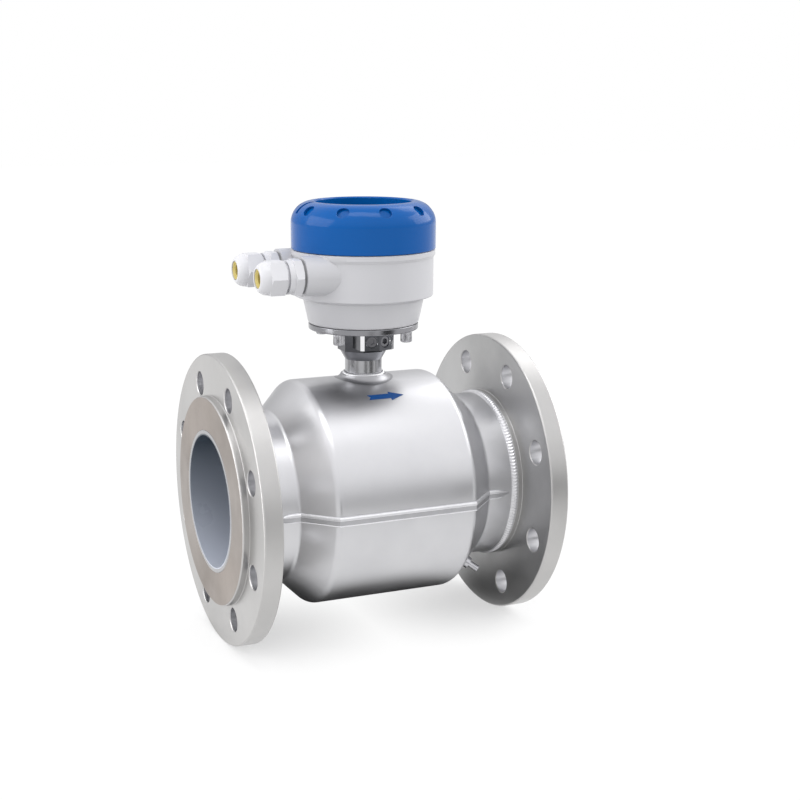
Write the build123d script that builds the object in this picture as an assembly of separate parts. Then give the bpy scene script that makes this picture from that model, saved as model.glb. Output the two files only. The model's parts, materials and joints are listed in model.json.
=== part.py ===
from build123d import *
import math
import os

# Electromagnetic flow meter: a DN 100 measuring tube between two PN 16 flanges, with a round
# signal converter on its neck. Millimetres. X runs with the flow, Z is up, and the origin is the
# centre of the inlet flange's sealing face.

# Flow passage: round at both ends and a flat slot in the middle
face_to_face = 250.0
bore = 100.0
throat_width = 84.0
throat_height = 31.0
throat_corner = 9.0
end_flat = 0.1
tube_wall = 2.6
coating = 1.0
round_end = 35.0
ramp_length = 50.0
ramp_sections = 10

# Flanges
flange_thickness = 20.0
raised_face_height = 5.5
raised_face_edge = 0.8
raised_face_margin = 2.0
bolt_hole = 18.0
bolt_count = 8
bolt_hole_edge = 0.6
bolt_edge_distance = 20.0
flange_edge = 0.8
hub_step = 2.0
hub_length = 4.0
hub_to_hole = 15.0
tube_fit = 0.05

# Sheet steel housing round the tube
collar_gap = 8.4
collar_length = 24.5
housing_wall = 2.0
housing_gap = 6.6
shoulder_radius = 8.0
collar_radius = 4.0

# Welds of the housing
bead_width = 5.0
bead_height = 2.3
seam_width = 7.3
seam_collar_width = 7.0
seam_height = 2.0
seam_root = 1.0
seam_taper = 9.0
seam_tip_width = 1.6
seam_tip_height = 0.4

# Magnet system
pole_shoe_length = 56.0
pole_shoe_width = 50.0
pole_shoe_thickness = 3.0
pole_film = 0.1
pole_core_od = 24.0
pole_core_height = 30.0
bobbin_wall = 1.7
bobbin_flange = 2.0
bobbin_lip = 2.0
bobbin_clearance = 0.3
winding_depth = 17.0
yoke_width = 46.0
yoke_thickness = 3.0
yoke_bend = 10.0

# Electrodes
electrode_stem_od = 5.0
electrode_stem_length = 13.0
electrode_head_lip = 2.5
electrode_head_height = 0.8
electrode_room = 5.0
bush_wall = 2.4
bush_length = 6.5
bush_seat_gap = 0.5
electrode_clearance = 0.1
washer_lip = 0.5
washer_thickness = 1.0
electrode_nut_flats = 8.0
electrode_nut_height = 3.0
reference_station = 63.0

# Earth stud on the outlet cone
stud_station = 190.0
stud_turn = 48.0
stud_boss_od = 9.0
stud_boss_height = 3.0
stud_thread_od = 5.0
stud_thread_length = 8.0

# Neck
neck_x = face_to_face / 2
neck_od = 28.0
neck_wall = 3.0
neck_height = 14.0
flare_width = 3.5
flare_spread = 2.0
flare_rise = 2.6
flare_depth = 6.0
flare_edge = 1.2
neck_bead_height = 1.8
adapter_cone_height = 7.0
adapter_core_step = 4.0
adapter_height = 23.4
lug_drop = 13.0
lug_width = 27.0
lug_side_rise = 8.5
lug_corner_rise = 2.0
lug_ridge_rise = 2.5
lug_corner = 2.5
set_screw_od = 8.0
set_screw_length = 5.0
set_screw_sink = 1.2
set_screw_socket = 4.0
set_screw_edge = 0.6

# Plate under the converter and its cap screws
plate_inset = 0.1
plate_thickness = 4.4
plate_edge = 0.4
plate_screw_inset = 4.8
plate_screw_count = 4
plate_screw_turn = 38.0
cap_screw_thread = 5.0
cap_screw_head_lip = 1.85
cap_screw_head = 8.0
cap_screw_length = 12.0
cap_screw_socket = 4.0
cap_screw_clearance = 0.25

# Converter housing
compartment_od = 87.0
neck_ring_wall = 3.7
neck_ring_height = 12.2
rim_inset = 0.2
rim_drop = 3.6
rim_bevel = 2.2
rim_edge = 0.5
rim_lip = 1.3
drum_step = 2.4
drum_step_round = 1.0
bowl_step = 6.9
bowl_draft = 4.0
bowl_height = 18.6
bowl_base_round = 2.2
bowl_wall = 4.0
bowl_floor = 4.2
converter_height = 55.0
boss_wall = 3.0
boss_height = 8.0
lead_clearance = 2.8

# Cable glands
gland_gap = 21.8
gland_drop = 15.0
gland_boss_proud = 5.2
gland_seat_margin = 2.1
gland_bore = 13.0
gland_thread_wall = 3.1
gland_thread_length = 10.0
gland_thread_clearance = 0.1
gland_gasket_inset = 0.1
gland_gasket_thickness = 1.6
gland_hex_margin = 0.5
gland_hex_height = 6.6
gland_collar_lip = 2.3
gland_collar_height = 3.9
gland_barrel_wall = 1.6
gland_barrel_length = 11.9
gland_groove = 1.9
gland_pocket_step = 1.8
gland_pocket_depth = 8.0
gland_clearance = 0.3
insert_seat_gap = 0.3
insert_straight = 9.0
insert_cone = 5.0
insert_taper = 1.5
insert_tip = 2.6
cable_bore = 9.0
insert_dish = 1.6
insert_dish_width = 1.5
nut_wall = 2.1
nut_hex_height = 12.4
nut_dome_height = 7.1
nut_lip = 1.5
hex_edge = 0.9

# Screw cover
cover_wall = 6.0
cover_gap = 0.4
cover_height = 35.2
cover_shoulder = 16.0
cover_opening_edge = 1.0
cover_thread_clearance = 0.8
cover_ledge = 8.0
cover_foot_edge = 0.6
cover_turn = -4.0
window_recess = 13.0
window_overlap = 4.0
window_seal_thickness = 1.0
window_thickness = 4.5
window_clearance = 0.25
retainer_width = 5.0
retainer_height = 3.3
dimple_count = 10
dimple_od = 9.3
dimple_depth = 2.4
slot_width = 4.2
slot_depth = 2.5
seal_section = 2.4
seal_seat = 0.3

# Electronics in the converter
module_gap = 5.0
module_height = 14.0
board_thickness = 1.6
terminal_length = 44.0
terminal_depth = 12.0
terminal_height = 11.0
terminal_offset = 12.0
terminal_ways = 8
post_od = 5.0
post_inset = 7.0
post_height = 28.4
post_count = 3
display_gap = 1.5
display_plate = 3.0
screen_side_gap = 1.6
screen_width = 30.0
screen_height = 3.0
screen_bezel = 3.0
display_key = 7.0
display_key_height = 1.0
display_key_pitch = 12.0
display_key_gap = 3.5
display_key_count = 4
display_screw_head_lip = 1.45
display_screw_head = 2.0
display_screw_thread = 2.5
display_screw_length = 6.0
lead_bundle_od = 6.4

# Values worked out from the driving dimensions: the flow passage and the flanges
outlet = face_to_face
ramp_end = round_end + ramp_length
tube_od = bore + 2 * (coating + tube_wall)
tube_top = throat_height / 2 + coating + tube_wall
throat_side = throat_width / 2
collar_od = tube_od + 2 * (collar_gap + housing_wall)
hub_od = collar_od + 2 * hub_step
hub_end = flange_thickness + hub_length
bolt_circle = hub_od + bolt_hole + 2 * hub_to_hole
raised_face_od = bolt_circle - bolt_hole - 2 * raised_face_margin
flange_od = bolt_circle + 2 * bolt_edge_distance

# The same for the electrodes, the magnet system and the housing round it
electrode_head_od = electrode_stem_od + 2 * electrode_head_lip
electrode_hole = electrode_stem_od + 2 * electrode_clearance
bush_od = electrode_hole + 2 * bush_wall
bush_top = coating + bush_seat_gap + bush_length
washer_od = bush_od + 2 * washer_lip
shoe_base = tube_top + pole_film
shoe_top = shoe_base + pole_shoe_thickness
core_top = shoe_top + pole_core_height
spool_bore = pole_core_od + 2 * bobbin_clearance
spool_hub_od = spool_bore + 2 * bobbin_wall
winding_od = spool_hub_od + 2 * winding_depth
bobbin_od = winding_od + 2 * bobbin_lip
yoke_half_span = throat_side + electrode_stem_length + electrode_room
yoke_corner = math.hypot(yoke_half_span - yoke_bend, core_top + yoke_thickness - yoke_bend)
housing_od = 2 * (yoke_corner + yoke_bend + housing_gap + housing_wall)
cone_rise = (housing_od - collar_od) / 2
cone_start = hub_end + collar_length
cone_end = cone_start + cone_rise

# The same for the neck
neck_bore = neck_od - 2 * neck_wall
neck_top = housing_od / 2 + neck_height
flare_od = neck_od + 2 * flare_width
adapter_top = neck_top + adapter_height
adapter_core_flats = neck_od + 2 * adapter_core_step
lug_base = adapter_top - lug_drop
lug_side_reach = adapter_core_flats / 2 + lug_side_rise
lug_corner_reach = lug_side_reach + lug_corner_rise
lug_reach = lug_corner_reach + lug_ridge_rise

# The same for the converter, from its compartment outwards and from its base up
housing_base = adapter_top + plate_thickness
compartment_floor = housing_base + bowl_floor
bowl_top = housing_base + bowl_height
drum_base = bowl_top + drum_step
rim_top = housing_base + converter_height
neck_ring_top = rim_top + neck_ring_height
neck_ring_od = compartment_od + 2 * neck_ring_wall
cover_thread_od = neck_ring_od + 2 * cover_thread_clearance
cover_od = cover_thread_od + 2 * cover_wall
rim_od = cover_od - 2 * rim_inset
drum_od = rim_od - 2 * rim_lip
bowl_top_od = drum_od - 2 * bowl_step
bowl_base_od = bowl_top_od - 2 * bowl_draft
plate_od = bowl_base_od - 2 * plate_inset
plate_screw_circle = plate_od - 2 * plate_screw_inset
cap_screw_head_od = cap_screw_thread + 2 * cap_screw_head_lip
screw_hole = cap_screw_thread + 2 * electrode_clearance
boss_od = cap_screw_thread + 2 * boss_wall
boss_top = compartment_floor + boss_height
lead_hole_od = lead_bundle_od + 2 * lead_clearance

# The same for the cover
cover_base = rim_top + cover_gap
cover_top = rim_top + cover_height
window_ledge = cover_top - window_recess
window_top = window_ledge - window_seal_thickness
window_base = window_top - window_thickness
cover_ceiling = window_base - retainer_height
cover_pocket_od = cover_thread_od - 2 * cover_ledge
cover_opening = cover_pocket_od - 2 * window_overlap
retainer_bore = cover_pocket_od - 2 * retainer_width

# The same for the electronics
module_od = compartment_od - 2 * module_gap
module_top = boss_top + module_height
board_top = module_top + board_thickness
display_base = board_top + post_height
display_top = display_base + display_plate
display_od = compartment_od - 2 * display_gap
post_circle = display_od - 2 * post_inset
display_screw_head_od = display_screw_thread + 2 * display_screw_head_lip
post_side = post_circle / 2 * math.cos(math.pi / 6)
screen_length = 2 * (post_side - display_screw_head_od / 2 - screen_side_gap - screen_bezel)
display_key_offset = screen_width / 2 + screen_bezel + display_key_gap + display_key / 2

# The same for the glands, from the bore outwards and from the boss out
gland_thread_od = gland_bore + 2 * gland_thread_wall
gland_pocket_od = gland_bore + 2 * gland_pocket_step
gland_barrel_od = gland_pocket_od + 2 * gland_barrel_wall
gland_collar_od = gland_barrel_od + 2 * gland_collar_lip
nut_flats = gland_barrel_od + 2 * nut_wall
gland_hex_flats = nut_flats + 2 * gland_hex_margin
gland_gasket_od = gland_hex_flats - 2 * gland_gasket_inset
gland_boss_od = gland_hex_flats + 2 * gland_seat_margin
gland_boss_reach = cover_od / 2 + gland_boss_proud
gland_spacing = gland_boss_od + gland_gap
gland_z = rim_top - gland_drop
gland_hex_top = gland_gasket_thickness + gland_hex_height
gland_collar_top = gland_hex_top + gland_collar_height
gland_end = gland_collar_top + gland_barrel_length
nut_base = gland_collar_top + gland_groove
nut_end = nut_base + nut_hex_height + nut_dome_height
insert_base = gland_end - gland_pocket_depth + insert_seat_gap
insert_shoulder = insert_base + insert_straight
insert_tip_od = gland_pocket_od - 2 * insert_taper
insert_dish_od = cable_bore + 2 * insert_dish_width
nut_end_od = insert_tip_od + 2 * nut_lip


def turned(axis, *edges):
    """A solid of revolution about an axis from the edges of its closed half section."""
    return revolve(make_face(Wire(edges)), axis=axis)


def turned_x(*points):
    """A turned piece on the X axis from (x, radius) corners."""
    return turned(Axis.X, *Polyline(*[(x, r, 0) for x, r in points], close=True).edges())


def turned_z(*points):
    """A turned piece on the Z axis from (radius, z) corners."""
    return turned(Axis.Z, *Polyline(*[(r, 0, z) for r, z in points], close=True).edges())


def ring_z(outer, inner, base, top):
    """A plain ring or washer on the Z axis."""
    return turned_z((inner / 2, base), (outer / 2, base), (outer / 2, top), (inner / 2, top))


def rod(diameter, base, top):
    """A round bar on the Z axis."""
    return Pos(0, 0, base) * extrude(Circle(diameter / 2), top - base)


def hexagon(flats, base, top):
    """A hexagonal bar on the Z axis with corners along X."""
    across_corners = flats / math.cos(math.pi / 6)
    return Pos(0, 0, base) * extrude(RegularPolygon(across_corners / 2, 6), top - base)


def chamfered_hexagon(flats, base, top, edge):
    """A hexagonal bar whose corners are turned off at both ends."""
    corner = flats / math.cos(math.pi / 6) / 2
    envelope = turned_z(
        (0, base),
        (corner - 2 * edge, base),
        (corner, base + edge),
        (corner, top - edge),
        (corner - 2 * edge, top),
        (0, top),
    )
    return hexagon(flats, base, top) & envelope


def on_neck(part):
    """Moves a piece drawn round the Z axis on to the neck's axis."""
    return Pos(neck_x, 0, 0) * part


def at_outlet(part):
    """The same piece at the other end of the meter."""
    return mirror(part, about=Plane.YZ.offset(neck_x))


def below(part):
    """The same piece under the tube."""
    return mirror(part, about=Plane.XY)


def behind(part):
    """The same piece on the far side of the meter."""
    return mirror(part, about=Plane.XZ)


# Measuring tube and its coating


def ramp_share(x):
    """How far the section at x has gone from round (0) to the flat slot (1)."""
    from_end = min(x, face_to_face - x)
    t = min(max((from_end - round_end) / ramp_length, 0), 1)
    return t ** 3 * (10 - 15 * t + 6 * t * t)


def section_size(x):
    """Half width, half height and corner radius of the coated bore at x."""
    share = ramp_share(x)
    half_width = bore / 2 + (throat_width / 2 - bore / 2) * share
    half_height = bore / 2 + (throat_height / 2 - bore / 2) * share
    round_corner = 1 - end_flat / bore
    flat_corner = throat_corner / (throat_height / 2)
    corner = half_height * (round_corner + (flat_corner - round_corner) * share)
    return half_width, half_height, corner


def section_outline(x, growth):
    """The bore's outline at x, grown outwards by a wall."""
    half_width, half_height, corner = section_size(x)
    outline = RectangleRounded(2 * (half_width + growth), 2 * (half_height + growth), corner + growth)
    across = Plane(origin=(x, 0, 0), x_dir=(0, 1, 0), z_dir=(1, 0, 0))
    return (across.location * outline).wire()


def round_passage(growth):
    """The inside of the round inlet, grown by a wall."""
    return extrude(Face(section_outline(0, growth)), amount=round_end, dir=(1, 0, 0))


def ramp_passage(growth):
    """The inside of the inlet's ramp from round to slot, grown by a wall."""
    stations = [round_end + ramp_length * step / ramp_sections for step in range(ramp_sections + 1)]
    return Solid.make_loft([section_outline(x, growth) for x in stations], ruled=False)


def slot_passage(growth):
    """The inside of the flat slot, grown by a wall."""
    return extrude(Face(section_outline(ramp_end, growth)), amount=outlet - 2 * ramp_end, dir=(1, 0, 0))


def tube_wall_of(passage):
    """The steel wall round one stretch of the coated passage."""
    return passage(coating + tube_wall) - passage(coating)


def side_electrode_plane():
    """On the throat's near wall, pointing outwards."""
    return Plane(origin=(neck_x, -throat_side, 0), x_dir=(1, 0, 0), z_dir=(0, -1, 0))


def reference_electrode_plane():
    """On the floor of the inlet ramp, square to its slope."""
    step = 0.5
    low = section_size(reference_station - step)[1]
    high = section_size(reference_station + step)[1]
    slope = (high - low) / (2 * step)
    height = section_size(reference_station)[1]
    outward = Vector(-slope, 0, -1).normalized()
    return Plane(origin=(reference_station, 0, -height), x_dir=(0, 1, 0), z_dir=outward)


def electrode_planes():
    """Near, far and reference electrode."""
    near = side_electrode_plane()
    far = Plane(origin=(neck_x, throat_side, 0), x_dir=(1, 0, 0), z_dir=(0, 1, 0))
    return [near, far, reference_electrode_plane()]


def at_electrodes(part):
    """A copy of a small piece at every electrode."""
    return [plane.location * part for plane in electrode_planes()]


def inlet_transition():
    """The formed tube from the round inlet to the slot, with a hole for the reference electrode."""
    hole = rod(bush_od + 2 * electrode_clearance, -coating, 3 * tube_wall)
    return tube_wall_of(ramp_passage) - reference_electrode_plane().location * hole


def outlet_transition():
    """The formed tube from the slot to the round outlet."""
    return at_outlet(tube_wall_of(ramp_passage))


def measuring_tube():
    """The flat tube between the coils, with a hole for each side electrode."""
    wall = tube_wall_of(slot_passage)
    hole = rod(bush_od + 2 * electrode_clearance, -coating, 3 * tube_wall)
    for plane in electrode_planes()[:2]:
        wall -= plane.location * hole
    return wall


def bore_coating():
    """The coating that lines the whole passage from face to face."""
    inlet_skin = round_passage(coating) - round_passage(0)
    inlet_skin += ramp_passage(coating) - ramp_passage(0)
    slot_skin = slot_passage(coating) - slot_passage(0)
    skin = inlet_skin + slot_skin + at_outlet(inlet_skin)
    hole = rod(electrode_hole, -2 * coating, 3 * coating)
    for cutter in at_electrodes(hole):
        skin -= cutter
    return skin


# Flanges


def inlet_flange():
    tube_hole = tube_od / 2 + tube_fit
    disc = turned_x(
        (raised_face_height, tube_hole),
        (raised_face_height, flange_od / 2 - flange_edge),
        (raised_face_height + flange_edge, flange_od / 2),
        (flange_thickness - flange_edge, flange_od / 2),
        (flange_thickness, flange_od / 2 - flange_edge),
        (flange_thickness, hub_od / 2),
        (hub_end, hub_od / 2),
        (hub_end, tube_hole),
    )
    raised_face = turned_x(
        (0, tube_hole),
        (0, raised_face_od / 2 - raised_face_edge),
        (raised_face_edge, raised_face_od / 2),
        (raised_face_height, raised_face_od / 2),
        (raised_face_height, tube_hole),
    )
    hole = turned_z(
        (0, raised_face_height),
        (bolt_hole / 2 + bolt_hole_edge, raised_face_height),
        (bolt_hole / 2, raised_face_height + bolt_hole_edge),
        (bolt_hole / 2, flange_thickness - bolt_hole_edge),
        (bolt_hole / 2 + bolt_hole_edge, flange_thickness),
        (0, flange_thickness),
    )
    flange = disc + raised_face
    across = Plane(origin=(0, 0, 0), x_dir=(0, 1, 0), z_dir=(1, 0, 0))
    pitch = 360 / bolt_count
    for spot in PolarLocations(bolt_circle / 2, bolt_count, start_angle=pitch / 2):
        flange -= across.location * spot * hole
    return flange


# Sheet steel housing


def shell_line(inset):
    """The housing's side line from hub to hub, set in from its outer face."""
    step = inset * math.tan(math.pi / 8)
    collar = collar_od / 2 - inset
    drum = housing_od / 2 - inset
    corners = [
        (hub_end, collar),
        (cone_start + step, collar),
        (cone_end + step, drum),
        (outlet - cone_end - step, drum),
        (outlet - cone_start - step, collar),
        (outlet - hub_end, collar),
    ]
    outer_bend = shoulder_radius - inset
    inner_bend = collar_radius + inset
    radii = [inner_bend, outer_bend, outer_bend, inner_bend]
    return FilletPolyline(*corners, radius=radii)


def shell_half():
    """The upper half of the plain housing, from one seam over the top to the other."""
    outside = shell_line(0)
    inside = shell_line(housing_wall)
    ends = [Line(outside @ 0, inside @ 0), Line(outside @ 1, inside @ 1)]
    section = make_face(Wire(outside.edges() + inside.edges() + ends))
    return revolve(section, axis=Axis.X, revolution_arc=180)


def neck_flare():
    """The edge of the neck's hole, drawn up out of the housing round the neck."""
    top = housing_od / 2 + flare_rise
    foot = housing_od / 2 - flare_depth
    flare = turned_z(
        (0, foot),
        (flare_od / 2 + flare_spread, foot),
        (flare_od / 2, top - flare_edge),
        (flare_od / 2 - flare_edge, top),
        (0, top),
    )
    inside = Rot(0, 90, 0) * extrude(Circle(housing_od / 2 - housing_wall / 2), outlet)
    return on_neck(flare) - inside


def upper_housing_shell():
    shell = shell_half() + neck_flare()
    return shell - on_neck(rod(neck_od, 0, neck_top))


def lower_housing_shell():
    return below(shell_half())


def inlet_weld():
    """The bead that closes the collar on to the hub."""
    foot = collar_od / 2
    crown = ThreePointArc(
        (hub_end, foot + bead_height, 0),
        (hub_end + 0.6 * bead_width, foot + 0.8 * bead_height, 0),
        (hub_end + bead_width, foot, 0),
    )
    rest = Polyline((hub_end + bead_width, foot, 0), (hub_end, foot, 0), (hub_end, foot + bead_height, 0))
    return turned(Axis.X, *crown.edges(), *rest.edges())


def seam_section(x, foot, crest, width):
    """The seam's rounded section at x, from its root inside the housing to its crest."""
    half = width / 2
    crown = ThreePointArc((x, -foot, half), (x, -crest, 0), (x, -foot, -half))
    root = Polyline((x, -foot, -half), (x, seam_root - foot, -half), (x, seam_root - foot, half), (x, -foot, half))
    return Wire([*crown.edges(), *root.edges()])


def front_seam_weld():
    """The ridge along the near seam, which narrows on the collars and runs out at the welds."""
    start = hub_end + bead_width + seam_height
    step = seam_height * math.tan(math.pi / 8)
    collar = collar_od / 2
    drum = housing_od / 2
    sections = [
        (start, collar, collar + seam_tip_height, seam_tip_width),
        (start + seam_taper, collar, collar + seam_height, seam_collar_width),
        (cone_start - step, collar, collar + seam_height, seam_collar_width),
        (cone_start, collar, collar + seam_height + step, seam_collar_width),
        (cone_end - step, drum - step, drum + seam_height, seam_width),
        (cone_end, drum, drum + seam_height, seam_width),
    ]
    sections += [(outlet - x, foot, crest, width) for x, foot, crest, width in reversed(sections)]
    ridge = Solid.make_loft([seam_section(*section) for section in sections], ruled=True)
    return ridge - housing_core()


def housing_core():
    """The full round body that the seam lies on."""
    outside = shell_line(0)
    rest = Polyline(outside @ 1, (outlet - hub_end, 0), (hub_end, 0), outside @ 0)
    return revolve(make_face(Wire(outside.edges() + rest.edges())), axis=Axis.X)


# Magnet system


def upper_pole_piece():
    shoe = Pos(0, 0, shoe_base) * extrude(Rectangle(pole_shoe_length, pole_shoe_width), pole_shoe_thickness)
    return on_neck(shoe + rod(pole_core_od, shoe_top, core_top))


def upper_coil_bobbin():
    inner = spool_bore / 2
    hub = spool_hub_od / 2
    spool = turned_z(
        (inner, shoe_top),
        (bobbin_od / 2, shoe_top),
        (bobbin_od / 2, shoe_top + bobbin_flange),
        (hub, shoe_top + bobbin_flange),
        (hub, core_top - bobbin_flange),
        (bobbin_od / 2, core_top - bobbin_flange),
        (bobbin_od / 2, core_top),
        (inner, core_top),
    )
    return on_neck(spool)


def upper_coil_winding():
    return on_neck(ring_z(winding_od, spool_hub_od, shoe_top + bobbin_flange, core_top - bobbin_flange))


def front_yoke():
    """Half of the iron loop that carries the field back round the tube."""
    height = 2 * core_top
    across = 2 * yoke_half_span
    outer = RectangleRounded(across, height + 2 * yoke_thickness, yoke_bend)
    inner = RectangleRounded(across - 2 * yoke_thickness, height, yoke_bend - yoke_thickness)
    near = Pos(-across / 2, 0) * Rectangle(across, 2 * height)
    section = (outer - inner) & near
    upright = Plane(origin=(neck_x, 0, 0), x_dir=(0, 1, 0), z_dir=(1, 0, 0))
    return upright.location * extrude(section, yoke_width / 2, both=True)


# Electrodes


def electrode():
    """A flat headed pin, drawn with its head's seat at the origin."""
    head = rod(electrode_head_od, -electrode_head_height, 0)
    return head + rod(electrode_stem_od, 0, electrode_stem_length)


def electrode_bush():
    return ring_z(bush_od, electrode_hole, bush_top - bush_length, bush_top)


def electrode_washer():
    return ring_z(washer_od, electrode_hole, bush_top, bush_top + washer_thickness)


def electrode_nut():
    base = bush_top + washer_thickness
    nut = hexagon(electrode_nut_flats, base, base + electrode_nut_height)
    return nut - rod(electrode_hole, base, base + electrode_nut_height)


def earth_stud():
    """A boss and threaded stud, square to the outlet cone."""
    turn = math.radians(stud_turn)
    radius = collar_od / 2 + (outlet - cone_start) - stud_station
    radial = Vector(0, -math.cos(turn), -math.sin(turn))
    seat = Plane(origin=Vector(stud_station, 0, 0) + radial * radius, z_dir=radial + Vector(1, 0, 0))
    boss = rod(stud_boss_od, 0, stud_boss_height)
    thread = rod(stud_thread_od, stud_boss_height, stud_boss_height + stud_thread_length)
    return seat.location * (boss + thread)


# Neck and adapter


def neck_tube():
    foot = housing_od / 2 - 2 * housing_wall
    return on_neck(ring_z(neck_od, neck_bore, foot, neck_top))


def neck_weld():
    """The small bead between the neck and the drawn up edge."""
    foot = housing_od / 2 + flare_rise
    inner = neck_od / 2
    outer = flare_od / 2 - flare_edge
    middle = (inner + outer) / 2
    crown = ThreePointArc(
        (inner, 0, foot + neck_bead_height),
        (middle, 0, foot + 0.75 * neck_bead_height),
        (outer, 0, foot),
    )
    rest = Polyline((outer, 0, foot), (inner, 0, foot), (inner, 0, foot + neck_bead_height))
    return on_neck(turned(Axis.Z, *crown.edges(), *rest.edges()))


def lug_corners():
    """The near lug's outline seen from above: two broad faces and two clipped corners."""
    half = lug_width / 2
    return [
        (-half, -lug_side_reach),
        (-half + lug_corner, -lug_corner_reach),
        (0, -lug_reach),
        (half - lug_corner, -lug_corner_reach),
        (half, -lug_side_reach),
        (half, 0),
        (-half, 0),
    ]


def lug_screw_planes():
    """The seats of the set screws: the middles of the lug's broad faces, pointing outwards."""
    half = lug_width / 2 - lug_corner
    middle_x = half / 2
    middle_y = -(lug_reach + lug_corner_reach) / 2
    height = (lug_base + adapter_top) / 2
    slope = (lug_reach - lug_corner_reach) / half
    planes = []
    for side in (-1, 1):
        for near in (1, -1):
            outward = Vector(side * slope, -near, 0)
            origin = (side * middle_x, near * middle_y, height)
            planes.append(Plane(origin=origin, x_dir=(0, 0, 1), z_dir=outward))
    return planes


def neck_adapter():
    cone_top = neck_top + adapter_cone_height
    cone = turned_z(
        (0, neck_top),
        (neck_od / 2, neck_top),
        (adapter_core_flats / 2, cone_top),
        (0, cone_top),
    )
    core = RegularPolygon(adapter_core_flats / 2, 8, major_radius=False, rotation=22.5)
    block = cone + Pos(0, 0, cone_top) * extrude(core, adapter_top - cone_top)
    lug = Pos(0, 0, lug_base) * extrude(make_face(Polyline(*lug_corners(), close=True)), lug_drop)
    block += lug
    block += behind(lug)
    depth = set_screw_length + set_screw_sink
    hole = turned_z(
        (0, 0),
        (set_screw_od / 2 + set_screw_edge, 0),
        (set_screw_od / 2, -set_screw_edge),
        (set_screw_od / 2, -depth),
        (0, -depth),
    )
    for plane in lug_screw_planes():
        block -= plane.location * hole
    return on_neck(block - rod(neck_bore, neck_top, adapter_top))


def adapter_screws():
    """Four socket set screws, one in each broad face of the lugs."""
    screw = rod(set_screw_od, -set_screw_sink - set_screw_length, -set_screw_sink)
    socket = hexagon(set_screw_socket, -set_screw_sink - set_screw_length / 2, 0)
    return [on_neck(plane.location * (screw - socket)) for plane in lug_screw_planes()]


def plate_screw_spots():
    """Where the cap screws stand round the neck."""
    count = plate_screw_count
    return [Pos(neck_x, 0, 0) * spot for spot in PolarLocations(plate_screw_circle / 2, count, plate_screw_turn)]


def adapter_plate():
    half = plate_od / 2
    plate = turned_z(
        (neck_bore / 2, adapter_top),
        (half - plate_edge, adapter_top),
        (half, adapter_top + plate_edge),
        (half, housing_base - plate_edge),
        (half - plate_edge, housing_base),
        (neck_bore / 2, housing_base),
    )
    plate = on_neck(plate)
    hole = rod(cap_screw_thread + 2 * cap_screw_clearance, adapter_top, housing_base)
    for spot in plate_screw_spots():
        plate -= spot * hole
    return plate


def plate_screws():
    """Four cap screws from below, through the plate and into the converter."""
    base = adapter_top - cap_screw_head
    head = rod(cap_screw_head_od, base, adapter_top)
    socket = hexagon(cap_screw_socket, base, base + cap_screw_head / 2)
    thread = rod(cap_screw_thread, adapter_top, adapter_top + cap_screw_length)
    return [spot * (head - socket + thread) for spot in plate_screw_spots()]


# Converter housing


def converter_outside():
    """The cast housing's outer form without its bosses."""
    bowl_base = bowl_base_od / 2
    bowl_rim = bowl_top_od / 2
    drum = drum_od / 2
    rim = rim_od / 2
    neck_ring = neck_ring_od / 2
    points = [
        (0, housing_base),
        (bowl_base, housing_base),
        (bowl_rim, bowl_top),
        (drum, drum_base),
        (drum, rim_top - rim_drop - rim_bevel),
        (rim, rim_top - rim_drop),
        (rim, rim_top - rim_edge),
        (rim - rim_edge, rim_top),
        (neck_ring, rim_top),
        (neck_ring, neck_ring_top),
        (0, neck_ring_top),
    ]
    radii = [0] * len(points)
    radii[1] = bowl_base_round
    radii[2] = drum_step_round
    radii[3] = drum_step_round
    line = FilletPolyline(*[(r, 0, z) for r, z in points], radius=radii[1:-1])
    close = Line(line @ 1, line @ 0)
    return turned(Axis.Z, *line.edges(), *close.edges())


def converter_inside():
    """The compartment, round the screw bosses on its floor."""
    low = bowl_base_od / 2 - bowl_wall
    high = bowl_top_od / 2 - bowl_wall
    space = turned_z(
        (0, compartment_floor),
        (low, compartment_floor),
        (high, bowl_top),
        (compartment_od / 2, drum_base + bowl_wall),
        (compartment_od / 2, neck_ring_top),
        (0, neck_ring_top),
    )
    boss = rod(boss_od, compartment_floor, boss_top)
    for spot in PolarLocations(plate_screw_circle / 2, plate_screw_count, plate_screw_turn):
        space -= spot * boss
    return space


def converter_housing():
    body = converter_outside()
    for side in (-1, 1):
        body += gland_plane(side).location * rod(gland_boss_od, -gland_boss_reach / 2, 0)
    body -= converter_inside()
    thread = gland_thread_od + 2 * gland_thread_clearance
    for side in (-1, 1):
        body -= gland_plane(side).location * rod(thread, -gland_boss_reach / 2, 0)
    body -= rod(lead_hole_od, housing_base, compartment_floor)
    hole = rod(screw_hole, housing_base, adapter_top + cap_screw_length)
    for spot in PolarLocations(plate_screw_circle / 2, plate_screw_count, plate_screw_turn):
        body -= spot * hole
    return on_neck(body)


# Cable glands


def gland_plane(side):
    """A gland boss's face beside the converter's axis: Z out of the boss, X across the meter."""
    origin = (-gland_boss_reach, side * gland_spacing / 2, gland_z)
    return Plane(origin=origin, x_dir=(0, 1, 0), z_dir=(-1, 0, 0))


def on_boss(side, part):
    return on_neck(gland_plane(side).location * part)


def gland_gasket():
    inner = gland_thread_od + 2 * gland_thread_clearance
    return ring_z(gland_gasket_od, inner, 0, gland_gasket_thickness)


def gland_body():
    body = rod(gland_thread_od, -gland_thread_length, gland_gasket_thickness)
    body += chamfered_hexagon(gland_hex_flats, gland_gasket_thickness, gland_hex_top, hex_edge)
    body += rod(gland_collar_od, gland_hex_top, gland_collar_top)
    body += rod(gland_barrel_od, gland_collar_top, gland_end)
    body -= rod(gland_bore, -gland_thread_length, gland_end)
    return body - rod(gland_pocket_od, gland_end - gland_pocket_depth, gland_end)


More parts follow.
